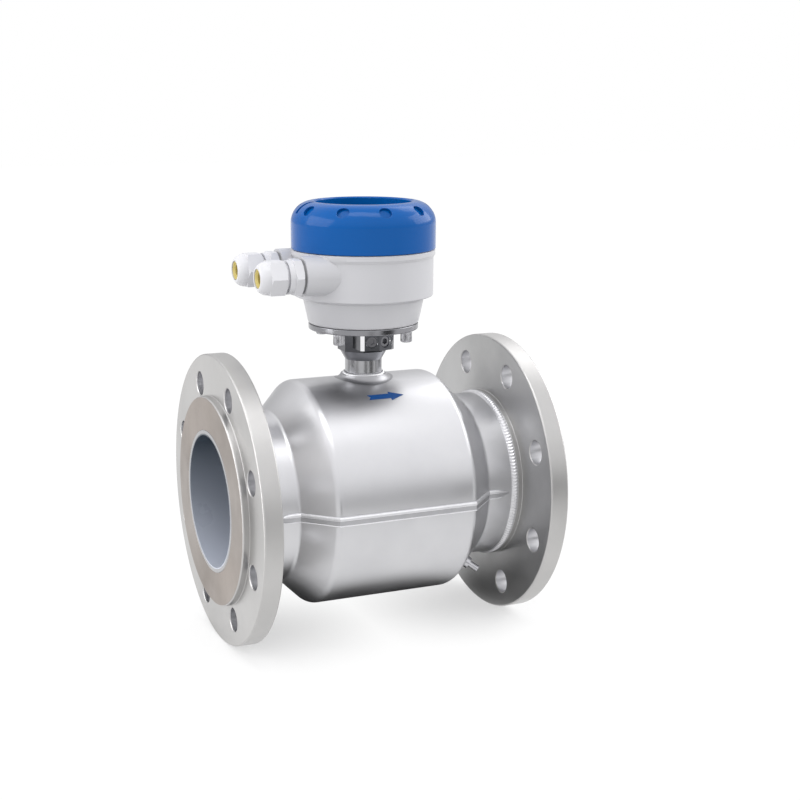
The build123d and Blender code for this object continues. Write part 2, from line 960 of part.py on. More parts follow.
def gland_insert():
    """The soft ring that grips the cable: straight in the body, coned where the nut squeezes it."""
    outer = gland_pocket_od / 2 - gland_clearance
    tip = insert_tip_od / 2
    cone_base = insert_shoulder
    cone_top = cone_base + insert_cone
    top = cone_top + insert_tip
    return turned_z(
        (cable_bore / 2, insert_base),
        (outer, insert_base),
        (outer, cone_base),
        (tip, cone_top),
        (tip, top),
        (insert_dish_od / 2, top),
        (cable_bore / 2, top - insert_dish),
    )


def gland_nut():
    """The domed cap nut over the insert."""
    hex_top = nut_base + nut_hex_height
    dome = nut_flats / 2
    end = nut_end_od / 2
    mouth = insert_tip_od / 2 + gland_clearance
    thread = gland_barrel_od / 2 + gland_clearance
    shoulder = insert_shoulder
    lift = gland_clearance / math.cos(math.pi / 4)
    side = TangentArc((dome, 0, hex_top), (end, 0, nut_end), tangent=(0, 0, 1))
    rest = Polyline(
        (end, 0, nut_end),
        (mouth, 0, nut_end),
        (mouth, 0, shoulder + insert_cone + lift),
        (thread, 0, shoulder + lift),
        (thread, 0, hex_top),
        (dome, 0, hex_top),
    )
    nut = turned(Axis.Z, *side.edges(), *rest.edges())
    skirt = chamfered_hexagon(nut_flats, nut_base, hex_top, hex_edge)
    bore_tool = rod(2 * thread, nut_base, hex_top)
    return nut + (skirt - bore_tool)


# Screw cover


def cover_side(inset):
    """The cover's outer line from its foot over the shoulder to the opening, set in by a depth."""
    side = cover_od / 2 - inset
    top = cover_top - inset
    bend = cover_shoulder - inset
    centre = (cover_od / 2 - cover_shoulder, cover_top - cover_shoulder)
    middle = bend * math.sqrt(0.5)
    shoulder = ThreePointArc(
        (side, 0, centre[1]),
        (centre[0] + middle, 0, centre[1] + middle),
        (centre[0], 0, top),
    )
    return side, top, shoulder


def cover_blank(inset):
    """The cover's full outer form, set in by a depth."""
    side, top, shoulder = cover_side(inset)
    rest = Polyline(
        shoulder @ 1,
        (0, 0, top),
        (0, 0, cover_base),
        (side - cover_foot_edge, 0, cover_base),
        (side, 0, cover_base + cover_foot_edge),
        shoulder @ 0,
    )
    return turned(Axis.Z, *shoulder.edges(), *rest.edges())


def cover():
    groove = cover_thread_od / 2 + seal_section
    groove_top = rim_top + seal_section + 2 * seal_seat
    inside = turned_z(
        (0, cover_base),
        (groove, cover_base),
        (groove, groove_top),
        (cover_thread_od / 2, groove_top),
        (cover_thread_od / 2, cover_ceiling),
        (cover_pocket_od / 2, cover_ceiling),
        (cover_pocket_od / 2, window_ledge),
        (cover_opening / 2, window_ledge),
        (cover_opening / 2, cover_top - cover_opening_edge),
        (cover_opening / 2 + cover_opening_edge, cover_top),
        (0, cover_top),
    )
    cap = cover_blank(0) - inside
    middle = (cover_shoulder - dimple_depth) * math.sqrt(0.5)
    seat_r = cover_od / 2 - cover_shoulder + middle
    seat_z = cover_top - cover_shoulder + middle
    seat = Plane(origin=(seat_r, 0, seat_z), z_dir=(1, 0, 1))
    dimple = seat.location * rod(dimple_od, 0, cover_shoulder)
    pitch = 360 / dimple_count
    for step in range(dimple_count):
        cap -= Rot(0, 0, (step + 0.5) * pitch) * dimple
    reach = cover_od / 2
    strip = Pos(0, 0, cover_top) * Box(2 * reach, slot_width, 2 * cover_shoulder)
    band = turned_z(
        (cover_opening / 2 + 2 * cover_opening_edge, cover_top - cover_shoulder / 2),
        (reach, cover_top - cover_shoulder / 2),
        (reach, cover_top),
        (cover_opening / 2 + 2 * cover_opening_edge, cover_top),
    )
    slots = (strip & band) - cover_blank(slot_depth)
    return on_neck(Rot(0, 0, cover_turn) * (cap - slots))


def cover_seal():
    """The O-ring at the foot of the cover's thread."""
    centre = neck_ring_od / 2 + seal_seat + seal_section / 2
    height = rim_top + seal_seat + seal_section / 2
    section = Pos(centre, 0, height) * (Plane.XZ * Circle(seal_section / 2))
    return on_neck(revolve(section, axis=Axis.Z))


def window_seal():
    outer = cover_pocket_od - 2 * window_clearance
    return on_neck(ring_z(outer, cover_opening, window_top, window_ledge))


def cover_window():
    return on_neck(rod(cover_pocket_od - 2 * window_clearance, window_base, window_top))


def window_retainer():
    return on_neck(ring_z(cover_pocket_od, retainer_bore, cover_ceiling, window_base))


# Electronics in the converter


def electronics_module():
    return on_neck(rod(module_od, boss_top, module_top))


def terminal_board():
    return on_neck(rod(module_od, module_top, board_top))


def terminal_block():
    """A row of terminals with a wire hole and a screw for each way."""
    block = Pos(-terminal_offset, 0, board_top) * extrude(Rectangle(terminal_depth, terminal_length), terminal_height)
    pitch = terminal_length / terminal_ways
    top = board_top + terminal_height
    for way in range(terminal_ways):
        y = (way + 0.5) * pitch - terminal_length / 2
        mouth = Box(terminal_depth / 2, pitch / 2, terminal_height / 2)
        block -= Pos(-terminal_offset - terminal_depth / 2, y, board_top + terminal_height / 2) * mouth
        block -= Pos(-terminal_offset + terminal_depth / 4, y, top) * rod(pitch / 2, -terminal_height / 3, 0)
    return on_neck(block)


def post_spots():
    return list(PolarLocations(post_circle / 2, post_count, start_angle=90))


def display_posts():
    hole = rod(display_screw_thread, display_base - display_screw_length, display_base)
    post = rod(post_od, board_top, display_base) - hole
    return [on_neck(spot * post) for spot in post_spots()]


def display_frame():
    """The display's carrier plate with a raised bezel round the screen."""
    plate = rod(display_od, display_base, display_top)
    bezel = RectangleRounded(screen_length + 2 * screen_bezel, screen_width + 2 * screen_bezel, screen_bezel)
    plate += Pos(0, 0, display_top) * extrude(bezel, screen_height)
    plate -= Pos(0, 0, display_top) * extrude(Rectangle(screen_length, screen_width), screen_height)
    hole = rod(display_screw_thread + 2 * electrode_clearance, display_base, display_top)
    for spot in post_spots():
        plate -= spot * hole
    return on_neck(plate)


def display_screen():
    inset = 2 * electrode_clearance
    glass = Rectangle(screen_length - inset, screen_width - inset)
    return on_neck(Pos(0, 0, display_top) * extrude(glass, screen_height - electrode_clearance))


def display_keys():
    """Touch keys in a row below the screen."""
    key = Pos(0, 0, display_top) * extrude(RectangleRounded(display_key, display_key, 1), display_key_height)
    keys = []
    for step in range(display_key_count):
        x = (step - (display_key_count - 1) / 2) * display_key_pitch
        keys.append(on_neck(Pos(x, -display_key_offset, 0) * key))
    return keys


def display_screws():
    head = rod(display_screw_head_od, display_top, display_top + display_screw_head)
    thread = rod(display_screw_thread, display_top - display_screw_length, display_top)
    return [on_neck(spot * (head + thread)) for spot in post_spots()]


def lead_bundle():
    """Coil and electrode leads, bound together up the middle of the neck."""
    return on_neck(rod(lead_bundle_od, core_top + yoke_thickness, boss_top))


coating_skin = bore_coating()
round_wall = tube_wall_of(round_passage)
electrodes = [piece - coating_skin for piece in at_electrodes(electrode())]
upper_shell = upper_housing_shell()
seam = front_seam_weld()
flange = inlet_flange()
weld = inlet_weld()
yoke = front_yoke()

nodes = {
    "inlet_flange": flange,
    "outlet_flange": at_outlet(flange),
    "inlet_pipe_end": round_wall,
    "inlet_transition": inlet_transition(),
    "measuring_tube": measuring_tube(),
    "outlet_transition": outlet_transition(),
    "outlet_pipe_end": at_outlet(round_wall),
    "bore_coating": coating_skin,
    "upper_housing_shell": upper_shell,
    "lower_housing_shell": lower_housing_shell(),
    "inlet_weld": weld,
    "outlet_weld": at_outlet(weld),
    "front_seam_weld": seam,
    "rear_seam_weld": behind(seam),
    "upper_pole_piece": upper_pole_piece(),
    "lower_pole_piece": below(upper_pole_piece()),
    "upper_coil_bobbin": upper_coil_bobbin(),
    "lower_coil_bobbin": below(upper_coil_bobbin()),
    "upper_coil_winding": upper_coil_winding(),
    "lower_coil_winding": below(upper_coil_winding()),
    "front_yoke": yoke,
    "rear_yoke": behind(yoke),
    "front_electrode": electrodes[0],
    "rear_electrode": electrodes[1],
    "reference_electrode": electrodes[2],
    "electrode_bushes": Compound(at_electrodes(electrode_bush())),
    "electrode_washers": Compound(at_electrodes(electrode_washer())),
    "electrode_nuts": Compound(at_electrodes(electrode_nut())),
    "earth_stud": earth_stud(),
    "neck_tube": neck_tube(),
    "neck_weld": neck_weld(),
    "neck_adapter": neck_adapter(),
    "adapter_screws": Compound(adapter_screws()),
    "adapter_plate": adapter_plate(),
    "plate_screws": Compound(plate_screws()),
    "lead_bundle": lead_bundle(),
    "converter_housing": converter_housing(),
    "electronics_module": electronics_module(),
    "terminal_board": terminal_board(),
    "terminal_block": terminal_block(),
    "display_posts": Compound(display_posts()),
    "display_frame": display_frame(),
    "display_screen": display_screen(),
    "display_keys": Compound(display_keys()),
    "display_screws": Compound(display_screws()),
    "cover_seal": cover_seal(),
    "cover": cover(),
    "window_seal": window_seal(),
    "cover_window": cover_window(),
    "window_retainer": window_retainer(),
}
for side, name in ((-1, "front"), (1, "rear")):
    nodes[name + "_gland_gasket"] = on_boss(side, gland_gasket())
    nodes[name + "_gland_body"] = on_boss(side, gland_body())
    nodes[name + "_gland_insert"] = on_boss(side, gland_insert())
    nodes[name + "_gland_nut"] = on_boss(side, gland_nut())

os.makedirs("parts", exist_ok=True)
for name, part in nodes.items():
    export_step(part, os.path.join("parts", name + ".step"))
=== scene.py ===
"""Looks of an electromagnetic flow meter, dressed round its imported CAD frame.

Sizes in the classes are millimetres, as on a drawing, and mesh code turns them into metres.
The frame is the CAD's own: X with the flow from the inlet's sealing face, Z up the neck.
"""

from __future__ import annotations

import json
import logging
import math
from dataclasses import dataclass, field
from enum import Enum
from typing import Sequence

import bmesh
import bpy
import numpy as np
from mathutils import Matrix, Vector

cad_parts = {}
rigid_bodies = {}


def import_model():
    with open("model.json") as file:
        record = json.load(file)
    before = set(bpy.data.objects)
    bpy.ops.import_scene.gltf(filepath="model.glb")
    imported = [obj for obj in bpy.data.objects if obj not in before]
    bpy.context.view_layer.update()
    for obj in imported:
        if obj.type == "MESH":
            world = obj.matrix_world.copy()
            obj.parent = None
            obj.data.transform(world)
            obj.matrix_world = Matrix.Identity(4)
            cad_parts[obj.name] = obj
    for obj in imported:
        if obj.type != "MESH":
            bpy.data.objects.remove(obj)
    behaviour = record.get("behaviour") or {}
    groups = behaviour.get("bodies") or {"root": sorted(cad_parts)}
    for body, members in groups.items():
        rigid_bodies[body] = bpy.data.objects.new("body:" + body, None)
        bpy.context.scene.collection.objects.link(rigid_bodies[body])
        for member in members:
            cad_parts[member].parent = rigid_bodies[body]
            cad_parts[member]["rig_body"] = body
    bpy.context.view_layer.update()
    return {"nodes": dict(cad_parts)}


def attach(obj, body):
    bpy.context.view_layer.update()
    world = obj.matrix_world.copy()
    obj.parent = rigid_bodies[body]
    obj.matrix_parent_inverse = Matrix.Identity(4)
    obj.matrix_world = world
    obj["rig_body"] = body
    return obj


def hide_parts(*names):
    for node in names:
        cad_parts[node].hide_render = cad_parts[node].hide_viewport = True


logging.basicConfig(level=logging.INFO, format="%(levelname)s %(message)s")
log = logging.getLogger("flow_meter")

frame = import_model()

MM = 0.001
TAU = 2 * math.pi
NECK_X = 125.0
LENGTH = 250.0
FLOOR_Z = -110.0


def linear(code: str) -> tuple[float, float, float, float]:
    """Turns an sRGB hex colour into Blender's linear colour.

    Args:
        code: Six hex digits with or without a leading hash.

    Returns:
        Linear red, green and blue, and an alpha of one.
    """
    digits = code.lstrip("#")
    encoded = np.array([int(digits[i:i + 2], 16) / 255 for i in (0, 2, 4)])
    curve = np.where(encoded <= 0.04045, encoded / 12.92, ((encoded + 0.055) / 1.055) ** 2.4)
    return (*curve.tolist(), 1.0)


def add_node(
    tree: bpy.types.NodeTree,
    kind: str,
    values: dict | None = None,
    links: dict | None = None,
    **settings: object,
) -> bpy.types.Node:
    """Adds one node to a tree with its settings, socket values and incoming links.

    Args:
        tree: The node tree to add to.
        kind: The node's type name.
        values: Socket name or number to constant.
        links: Socket name or number to the output that feeds it.
        **settings: Attributes of the node itself.

    Returns:
        The new node.
    """
    node = tree.nodes.new(kind)
    for name, value in settings.items():
        setattr(node, name, value)
    for name, value in (values or {}).items():
        node.inputs[name].default_value = value
    for name, socket in (links or {}).items():
        tree.links.new(socket, node.inputs[name])
    return node


class Grain(Enum):
    """How a surface was made, which decides its fine relief."""

    BLASTED = "bead blasted"
    TURNED = "turned on a lathe"
    BRUSHED = "brushed lengthways"
    SPRAYED = "sprayed or powder coated"
    MOULDED = "moulded"


@dataclass(frozen=True)
class Finish:
    """One finish: what the material is, how it was made and how it takes the light.

    The relief is one pattern of the grain's own kind at its real size, and a second, wider
    pattern moves the colour and the roughness a little, as handling and process do.
    """

    name: str
    base: str
    shade: str
    roughness: float
    slot: str
    metallic: float = 0.0
    grain: Grain = Grain.MOULDED
    grain_mm: float = 0.6
    relief_mm: float = 0.01
    patch_mm: float = 30.0
    roughness_play: float = 0.05
    coat: float = 0.0
    ior: float = 1.5
    axis: tuple[float, float, float] = (1.0, 0.0, 0.0)
    centre_mm: tuple[float, float, float] = (0.0, 0.0, 0.0)
    transmission: float = 0.0
    alpha: float = 1.0
    anisotropic: float = 0.0
    # Painted shade: a darker colour mixed in towards the top, over a span of heights
    painted_top_shade: str = ""
    painted_shade_span_mm: tuple[float, float] = (0.0, 1.0)

    def colour(
        self, tree: bpy.types.NodeTree, place: bpy.types.NodeSocket, patches: bpy.types.NodeSocket
    ) -> bpy.types.NodeSocket:
        """Adds the colour: two tones mixed by wide patches, and a painted shade towards the top.

        Args:
            tree: The material's tree.
            place: The Object coordinate.
            patches: Noise from zero to one.

        Returns:
            The colour.
        """
        tones = add_node(
            tree, "ShaderNodeMix",
            {6: linear(self.base), 7: linear(self.shade)}, {0: patches}, data_type="RGBA",
        )
        if not self.painted_top_shade:
            return tones.outputs[2]
        # Painted shade: the colour darkens towards the top, as the light falls, over the given span
        parts = add_node(tree, "ShaderNodeSeparateXYZ", links={0: place})
        low, high = self.painted_shade_span_mm
        share = add_node(
            tree, "ShaderNodeMapRange", {"From Min": low * MM, "From Max": high * MM},
            {"Value": parts.outputs["Z"]},
        )
        shaded = add_node(
            tree, "ShaderNodeMix", {7: linear(self.painted_top_shade)},
            {0: share.outputs[0], 6: tones.outputs[2]}, data_type="RGBA",
        )
        return shaded.outputs[2]

    def relief(self, tree: bpy.types.NodeTree, place: bpy.types.NodeSocket) -> bpy.types.NodeSocket:
        """Adds the fine relief and returns its height socket.

        Turned rings are sin(2 pi (radius + distance along the axis) / pitch), broken up by
        noise. Brushed streaks are noise stretched forty times along the axis. Blasted,
        sprayed and moulded faces are plain noise of the grain's size.

        Args:
            tree: The material's tree.
            place: The Object coordinate, moved so that the piece's axis goes through zero.

        Returns:
            A height from about zero to one.
        """
        if self.grain is Grain.TURNED:
            across = tuple(1.0 - abs(a) for a in self.axis)
            flat = add_node(tree, "ShaderNodeVectorMath", {1: across}, {0: place}, operation="MULTIPLY")
            radius = add_node(tree, "ShaderNodeVectorMath", links={0: flat.outputs[0]}, operation="LENGTH")
            along = add_node(
                tree, "ShaderNodeVectorMath", {1: self.axis}, {0: place}, operation="DOT_PRODUCT"
            )
            total = add_node(
                tree, "ShaderNodeMath",
                links={0: radius.outputs["Value"], 1: along.outputs["Value"]}, operation="ADD",
            )
            phase = add_node(
                tree, "ShaderNodeMath", {1: TAU / (self.grain_mm * MM)},
                {0: total.outputs[0]}, operation="MULTIPLY",
            )
            wave = add_node(tree, "ShaderNodeMath", links={0: phase.outputs[0]}, operation="SINE")
            bands = add_node(
                tree, "ShaderNodeTexNoise",
                {"Scale": 0.16 / (self.grain_mm * MM), "Detail": 3.0, "W": 0.0},
                {"W": total.outputs[0]}, noise_dimensions="1D",
            )
            mixed = add_node(
                tree, "ShaderNodeMath", {1: 0.25},
                {0: wave.outputs[0], 2: bands.outputs[0]}, operation="MULTIPLY_ADD",
            )
            return mixed.outputs[0]
        stretch = (1.0, 1.0, 1.0)
        if self.grain is Grain.BRUSHED:
            stretch = tuple(1.0 / 40.0 if abs(a) > 0.5 else 1.0 for a in self.axis)
        scaled = add_node(tree, "ShaderNodeMapping", {"Scale": stretch}, {"Vector": place})
        noise = add_node(
            tree, "ShaderNodeTexNoise",
            {"Scale": 1.0 / (self.grain_mm * MM), "Detail": 2.0, "Roughness": 0.6},
            {"Vector": scaled.outputs[0]},
        )
        return noise.outputs[0]

    def material(self) -> bpy.types.Material:
        """Builds the material once and returns the same one after that."""
        known = bpy.data.materials.get(self.name)
        if known is not None:
            return known
        made = bpy.data.materials.new(self.name)
        made.use_nodes = True
        tree = made.node_tree
        tree.nodes.clear()
        coords = add_node(tree, "ShaderNodeTexCoord")
        offset = tuple(-c * MM for c in self.centre_mm)
        placed = add_node(
            tree, "ShaderNodeMapping", {"Location": offset}, {"Vector": coords.outputs["Object"]}
        )
        place = placed.outputs[0]
        patches = add_node(
            tree, "ShaderNodeTexNoise",
            {"Scale": 1.0 / (self.patch_mm * MM), "Detail": 4.0, "Roughness": 0.55}, {"Vector": place},
        )
        colour = self.colour(tree, place, patches.outputs[0])
        rough = add_node(
            tree, "ShaderNodeMapRange",
            {
                "From Min": 0.3,
                "From Max": 0.7,
                "To Min": self.roughness - self.roughness_play,
                "To Max": self.roughness + self.roughness_play,
            },
            {"Value": patches.outputs[0]},
        )
        bump = add_node(
            tree, "ShaderNodeBump", {"Strength": 1.0, "Distance": self.relief_mm * MM},
            {"Height": self.relief(tree, place)},
        )
        constants = {
            "Metallic": self.metallic,
            "Coat Weight": self.coat,
            "Coat Roughness": 0.03,
            "Transmission Weight": self.transmission,
            "Alpha": self.alpha,
        }
        if self.metallic < 0.5:
            constants["IOR"] = self.ior
        links = {"Base Color": colour, "Roughness": rough.outputs[0], "Normal": bump.outputs[0]}
        if self.anisotropic > 0:
            constants["Anisotropic"] = self.anisotropic
            round_axis = add_node(
                tree, "ShaderNodeVectorMath", {0: self.axis}, {1: place}, operation="CROSS_PRODUCT"
            )
            links["Tangent"] = round_axis.outputs[0]
        shader = add_node(tree, "ShaderNodeBsdfPrincipled", constants, links)
        add_node(tree, "ShaderNodeOutputMaterial", links={"Surface": shader.outputs[0]})
        return made


ABOUT_NECK = {"axis": (0.0, 0.0, 1.0), "centre_mm": (NECK_X, 0.0, 0.0)}

# Stainless steel sheet, blasted with glass beads: an even silk with no direction
BLASTED_STEEL = Finish(
    "bead blasted stainless steel", "D6D6D8", "C6C6C9", 0.36, "satin_steel", 1.0,
    Grain.BLASTED, 0.8, 0.012, 45.0, 0.04,
)
# Stainless flange, faced on a lathe: fine rings that spread the light across them
FLANGE_STEEL = Finish(
    "faced stainless steel flange", "C8C7C6", "B4B3B2", 0.36, "flange_steel", 1.0,
    Grain.TURNED, 0.9, 0.006, 50.0, 0.04, anisotropic=0.55,
)
# The sealing face keeps a coarser tool mark and looks warmer and darker
SEALING_STEEL = Finish(
    "turned sealing face", "A9A09A", "918A84", 0.38, "flange_steel", 1.0,
    Grain.TURNED, 1.1, 0.02, 30.0, 0.05, anisotropic=0.75,
)
# The outlet flange's back face is turned once and left rougher, and its darker grey is painted shade
BACK_STEEL_PAINTED_SHADE = Finish(
    "rough turned flange back with painted shade", "BEBEBE", "ABABAB", 0.4, "flange_steel", 1.0,
    Grain.TURNED, 1.0, 0.015, 40.0, 0.05, anisotropic=0.7,
)
# Drawn stainless tube with its mill brushing
BRUSHED_TUBE = Finish(
    "brushed stainless tube", "B9B9BB", "9FA0A3", 0.22, "tube_steel", 1.0,
    Grain.BRUSHED, 0.7, 0.0015, 20.0, 0.03, **ABOUT_NECK, anisotropic=0.4,
)
# The drum's sheet where it is drawn up round the neck: rougher, with a darker grey that is painted shade
DRAWN_COLLAR_PAINTED_SHADE = Finish(
    "drawn steel collar with painted shade", "AFAFB2", "A0A0A3", 0.42, "satin_steel", 1.0,
    Grain.BLASTED, 0.8, 0.008, 20.0, 0.04,
)
# Weld metal: brighter and rougher than the sheet, with its ripple in the mesh
WELD_METAL = Finish(
    "bright weld metal", "DEDEE0", "C4C4C7", 0.34, "weld_steel", 1.0,
    Grain.BLASTED, 0.5, 0.004, 6.0, 0.05,
)
# The seam's rib and lip are ground and rough, and get a paler grey, a painted highlight that keeps them pale on
# every slope
GROUND_SEAM_PAINTED_HIGHLIGHT = Finish(
    "ground seam steel with painted highlight", "E6E6E8", "D4D4D7", 0.5, "weld_steel", 1.0,
    Grain.BLASTED, 0.6, 0.004, 10.0, 0.05,
)
# The trough between them gets a darker grey, which is painted shade
SEAM_TROUGH_PAINTED_SHADE = Finish(
    "seam trough with painted shade", "C4C4C7", "B0B0B3", 0.45, "weld_steel", 1.0,
    Grain.BLASTED, 0.6, 0.006, 10.0, 0.05,
)
# Plated steel screws
PLATED_SCREW = Finish(
    "plated steel screw", "C9C9CC", "A9A9AE", 0.22, "fastener_steel", 1.0,
    Grain.BLASTED, 0.4, 0.004, 8.0, 0.05,
)
# Aluminium adapter, machined: wide dark and bright bands from one direction of cut
MACHINED_ADAPTER = Finish(
    "machined grey adapter", "8E8F93", "77787C", 0.22, "adapter_grey", 1.0,
    Grain.TURNED, 0.6, 0.002, 14.0, 0.04, **ABOUT_NECK, anisotropic=0.3,
)
# The adapter's upright walls get a darker grey, which is painted shade, and the clipped corners a near white
# one, which is a painted highlight
ADAPTER_WALL_PAINTED_SHADE = Finish(
    "adapter wall with painted shade", "66676B", "55565A", 0.2, "adapter_grey", 1.0,
    Grain.BLASTED, 0.6, 0.002, 8.0, 0.04,
)
ADAPTER_CORNER_PAINTED_HIGHLIGHT = Finish(
    "adapter corner with painted highlight", "F4F4F6", "E8E8EA", 0.16, "adapter_grey", 1.0,
    Grain.BLASTED, 0.6, 0.001, 8.0, 0.03,
)
# Dark plated set screws in the adapter's lugs
DARK_SCREW = Finish(
    "dark plated screw", "8A8A8E", "6C6C70", 0.2, "fastener_steel", 1.0,
    Grain.BLASTED, 0.4, 0.004, 8.0, 0.05,
)
# The plate over it is turned steel, whose fine rings spread the lights into upright bands
TURNED_PLATE = Finish(
    "turned steel plate", "97979B", "848488", 0.2, "adapter_grey", 1.0,
    Grain.TURNED, 0.8, 0.001, 16.0, 0.03, **ABOUT_NECK, anisotropic=0.4,
)
# Die-cast aluminium with light grey powder coat: soft gloss and a faint orange peel
GREY_POWDER_COAT = Finish(
    "light grey powder coat", "C0C0C3", "B9B9BD", 0.34, "light_grey_paint", 0.0,
    Grain.SPRAYED, 1.6, 0.012, 60.0, 0.03,
)
# Wet sprayed blue top coat under a thin lacquer: clear gloss at the edges, deep colour
BLUE_LACQUER = Finish(
    "blue gloss lacquer", "00529A", "004E94", 0.22, "blue_paint", 0.0,
    Grain.SPRAYED, 3.0, 0.004, 60.0, 0.02, coat=0.18, ior=1.22,
)
# Polyamide gland, injection moulded with a fine satin texture
GLAND_POLYAMIDE = Finish(
    "light grey polyamide", "CFCFD2", "C8C8CC", 0.42, "gland_grey", 0.0,
    Grain.MOULDED, 0.6, 0.008, 12.0, 0.04,
)
# Yellow rubber ring that grips the cable
SEAL_RUBBER_YELLOW = Finish(
    "yellow sealing rubber", "CDBD74", "B09E55", 0.6, "yellow_rubber", 0.0,
    Grain.MOULDED, 0.5, 0.01, 5.0, 0.05,
)
BLACK_RUBBER = Finish(
    "black rubber", "1B1B1C", "242425", 0.65, "black_rubber", 0.0, Grain.MOULDED, 0.5, 0.01, 6.0, 0.05,
)
# The glands sit on grey rubber rings, which show as a fine line
GREY_RUBBER = Finish(
    "grey rubber", "7C7C7E", "6F6F71", 0.6, "black_rubber", 0.0, Grain.MOULDED, 0.5, 0.01, 6.0, 0.05,
)
# Fused polymer coating in the bore: smooth, pale blue grey, with a painted shade that darkens it towards the
# top
BORE_POLYMER = Finish(
    "pale blue polymer coating", "B9BECA", "AFB5C2", 0.3, "bore_coating", 0.0,
    Grain.SPRAYED, 4.0, 0.01, 40.0, 0.04, painted_top_shade="35404A", painted_shade_span_mm=(-52.0, 38.0),
)
# Corrosion proof electrode metal, polished
ELECTRODE_METAL = Finish(
    "polished electrode metal", "A6A29D", "8F8B87", 0.16, "electrode_alloy", 1.0,
    Grain.BLASTED, 0.4, 0.002, 4.0, 0.04,
)
# Electrical sheet, as it leaves the mill
MAGNET_IRON = Finish(
    "electrical sheet iron", "77777B", "5D5D61", 0.5, "magnet_iron", 1.0,
    Grain.BRUSHED, 0.8, 0.01, 18.0, 0.08,
)
# Enamelled copper wire, wound in layers 0.9 mm apart
COPPER_WINDING = Finish(
    "enamelled copper winding", "B4632F", "8C4320", 0.3, "copper_wire", 1.0,
    Grain.TURNED, 0.9, 0.25, 8.0, 0.06, **ABOUT_NECK,
)
BRASS = Finish("turned brass", "C7A75A", "B08F45", 0.25, "brass_post", 1.0, Grain.TURNED, 0.4, 0.004, 6.0, 0.05)
BLACK_MOULDING = Finish(
    "black moulded plastic", "232426", "1B1C1E", 0.45, "black_plastic", 0.0,
    Grain.MOULDED, 0.7, 0.015, 15.0, 0.05,
)
WHITE_BUSH = Finish(
    "white machined polymer", "E6E5E0", "DAD9D3", 0.4, "white_plastic", 0.0,
    Grain.TURNED, 0.4, 0.004, 6.0, 0.05,
)
GREY_MOULDING = Finish(
    "grey moulded plastic", "8F9396", "83878A", 0.42, "terminal_grey", 0.0,
    Grain.MOULDED, 0.6, 0.01, 10.0, 0.05,
)
# Solder mask over glass fibre board: green with the copper's tracks showing as patches
CIRCUIT_BOARD = Finish(
    "green circuit board", "1F6B3A", "155029", 0.3, "green_board", 0.0,
    Grain.SPRAYED, 1.0, 0.02, 3.0, 0.05,
)
BRAIDED_SLEEVE = Finish(
    "black braided sleeve", "2B2B2D", "3A3A3C", 0.7, "lead_sleeve", 0.0,
    Grain.TURNED, 1.2, 0.1, 3.0, 0.05, **ABOUT_NECK,
)
# Reflective liquid crystal behind its cover: flat grey green and glossy
LIQUID_CRYSTAL = Finish(
    "liquid crystal display", "97A491", "8D9A87", 0.12, "display_glass", 0.0,
    Grain.SPRAYED, 6.0, 0.001, 30.0, 0.02, coat=0.6,
)
# Toughened window, 4.5 mm thick
WINDOW_GLASS = Finish(
    "clear window glass", "F2F6F5", "EDF3F2", 0.03, "window_glass", 0.0,
    Grain.SPRAYED, 20.0, 0.0, 60.0, 0.005, ior=1.5, transmission=1.0,
)
# Screen printed ink on the blasted steel
ARROW_INK = Finish(
    "dark blue printing ink", "003F7C", "003A72", 0.5, "blue_paint", 0.0,
    Grain.SPRAYED, 0.8, 0.004, 10.0, 0.05, ior=1.3,
)


def grid_faces(rows: int, columns: int, wrap_rows: bool, wrap_columns: bool) -> np.ndarray:
    """Numbers the quads of a grid of points, row by row.

    The quad of row i and column j joins points (i, j), (i, j+1), (i+1, j+1) and (i+1, j),
    counted modulo the grid where that way round it is closed.

    Args:
        rows: Points along the first parameter.
        columns: Points along the second parameter.
        wrap_rows: Whether the last row joins the first.
        wrap_columns: Whether the last column joins the first.

    Returns:
        An array of four point numbers a quad.
    """
    i, j = np.meshgrid(
        np.arange(rows if wrap_rows else rows - 1),
        np.arange(columns if wrap_columns else columns - 1),
        indexing="ij",
    )
    below, right = (i + 1) % rows, (j + 1) % columns
    quads = [i * columns + j, i * columns + right, below * columns + right, below * columns + j]
    return np.stack(quads, axis=-1).reshape(-1, 4)


@dataclass
class Surface:
    """Collects grids of points into one mesh, in millimetres, and turns it into an object."""

    name: str
    points: list[np.ndarray] = field(default_factory=list)
    faces: list[np.ndarray] = field(default_factory=list)
    count: int = 0

    def add_grid(
        self, grid: np.ndarray, wrap_rows: bool = False, wrap_columns: bool = False, flip: bool = False
    ) -> None:
        """Adds one grid of points.

        Args:
            grid: Rows by columns by three, in millimetres.
            wrap_rows: Whether the last row joins the first.
            wrap_columns: Whether the last column joins the first.
            flip: Whether the faces turn the other way.
        """
        rows, columns = grid.shape[:2]
        quads = grid_faces(rows, columns, wrap_rows, wrap_columns) + self.count
        self.points.append(grid.reshape(-1, 3))
        self.faces.append(quads[:, ::-1] if flip else quads)
        self.count += rows * columns

    def object(self, finish: Finish, sharp_deg: float = 35.0) -> bpy.types.Object:
        """Makes the mesh and its object at the origin, closed, outward and dressed.

        Args:
            finish: The finish of the whole piece.
            sharp_deg: Edges that bend more than this stay sharp.

        Returns:
            The new object, linked to the scene.
        """
        points = np.concatenate(self.points) * MM
        faces = np.concatenate(self.faces)
        mesh = bpy.data.meshes.new(self.name)
        mesh.from_pydata(points.tolist(), [], faces.tolist())
        shell = bmesh.new()
        shell.from_mesh(mesh)
        bmesh.ops.remove_doubles(shell, verts=shell.verts, dist=1e-6)
        bmesh.ops.dissolve_degenerate(shell, edges=shell.edges, dist=1e-7)
        bmesh.ops.recalc_face_normals(shell, faces=shell.faces)
        shell.to_mesh(mesh)
        shell.free()
        mesh.shade_smooth()
        mesh.set_sharp_from_angle(angle=math.radians(sharp_deg))
        mesh.materials.append(finish.material())
        piece = bpy.data.objects.new(self.name, mesh)
        bpy.context.scene.collection.objects.link(piece)
        return piece


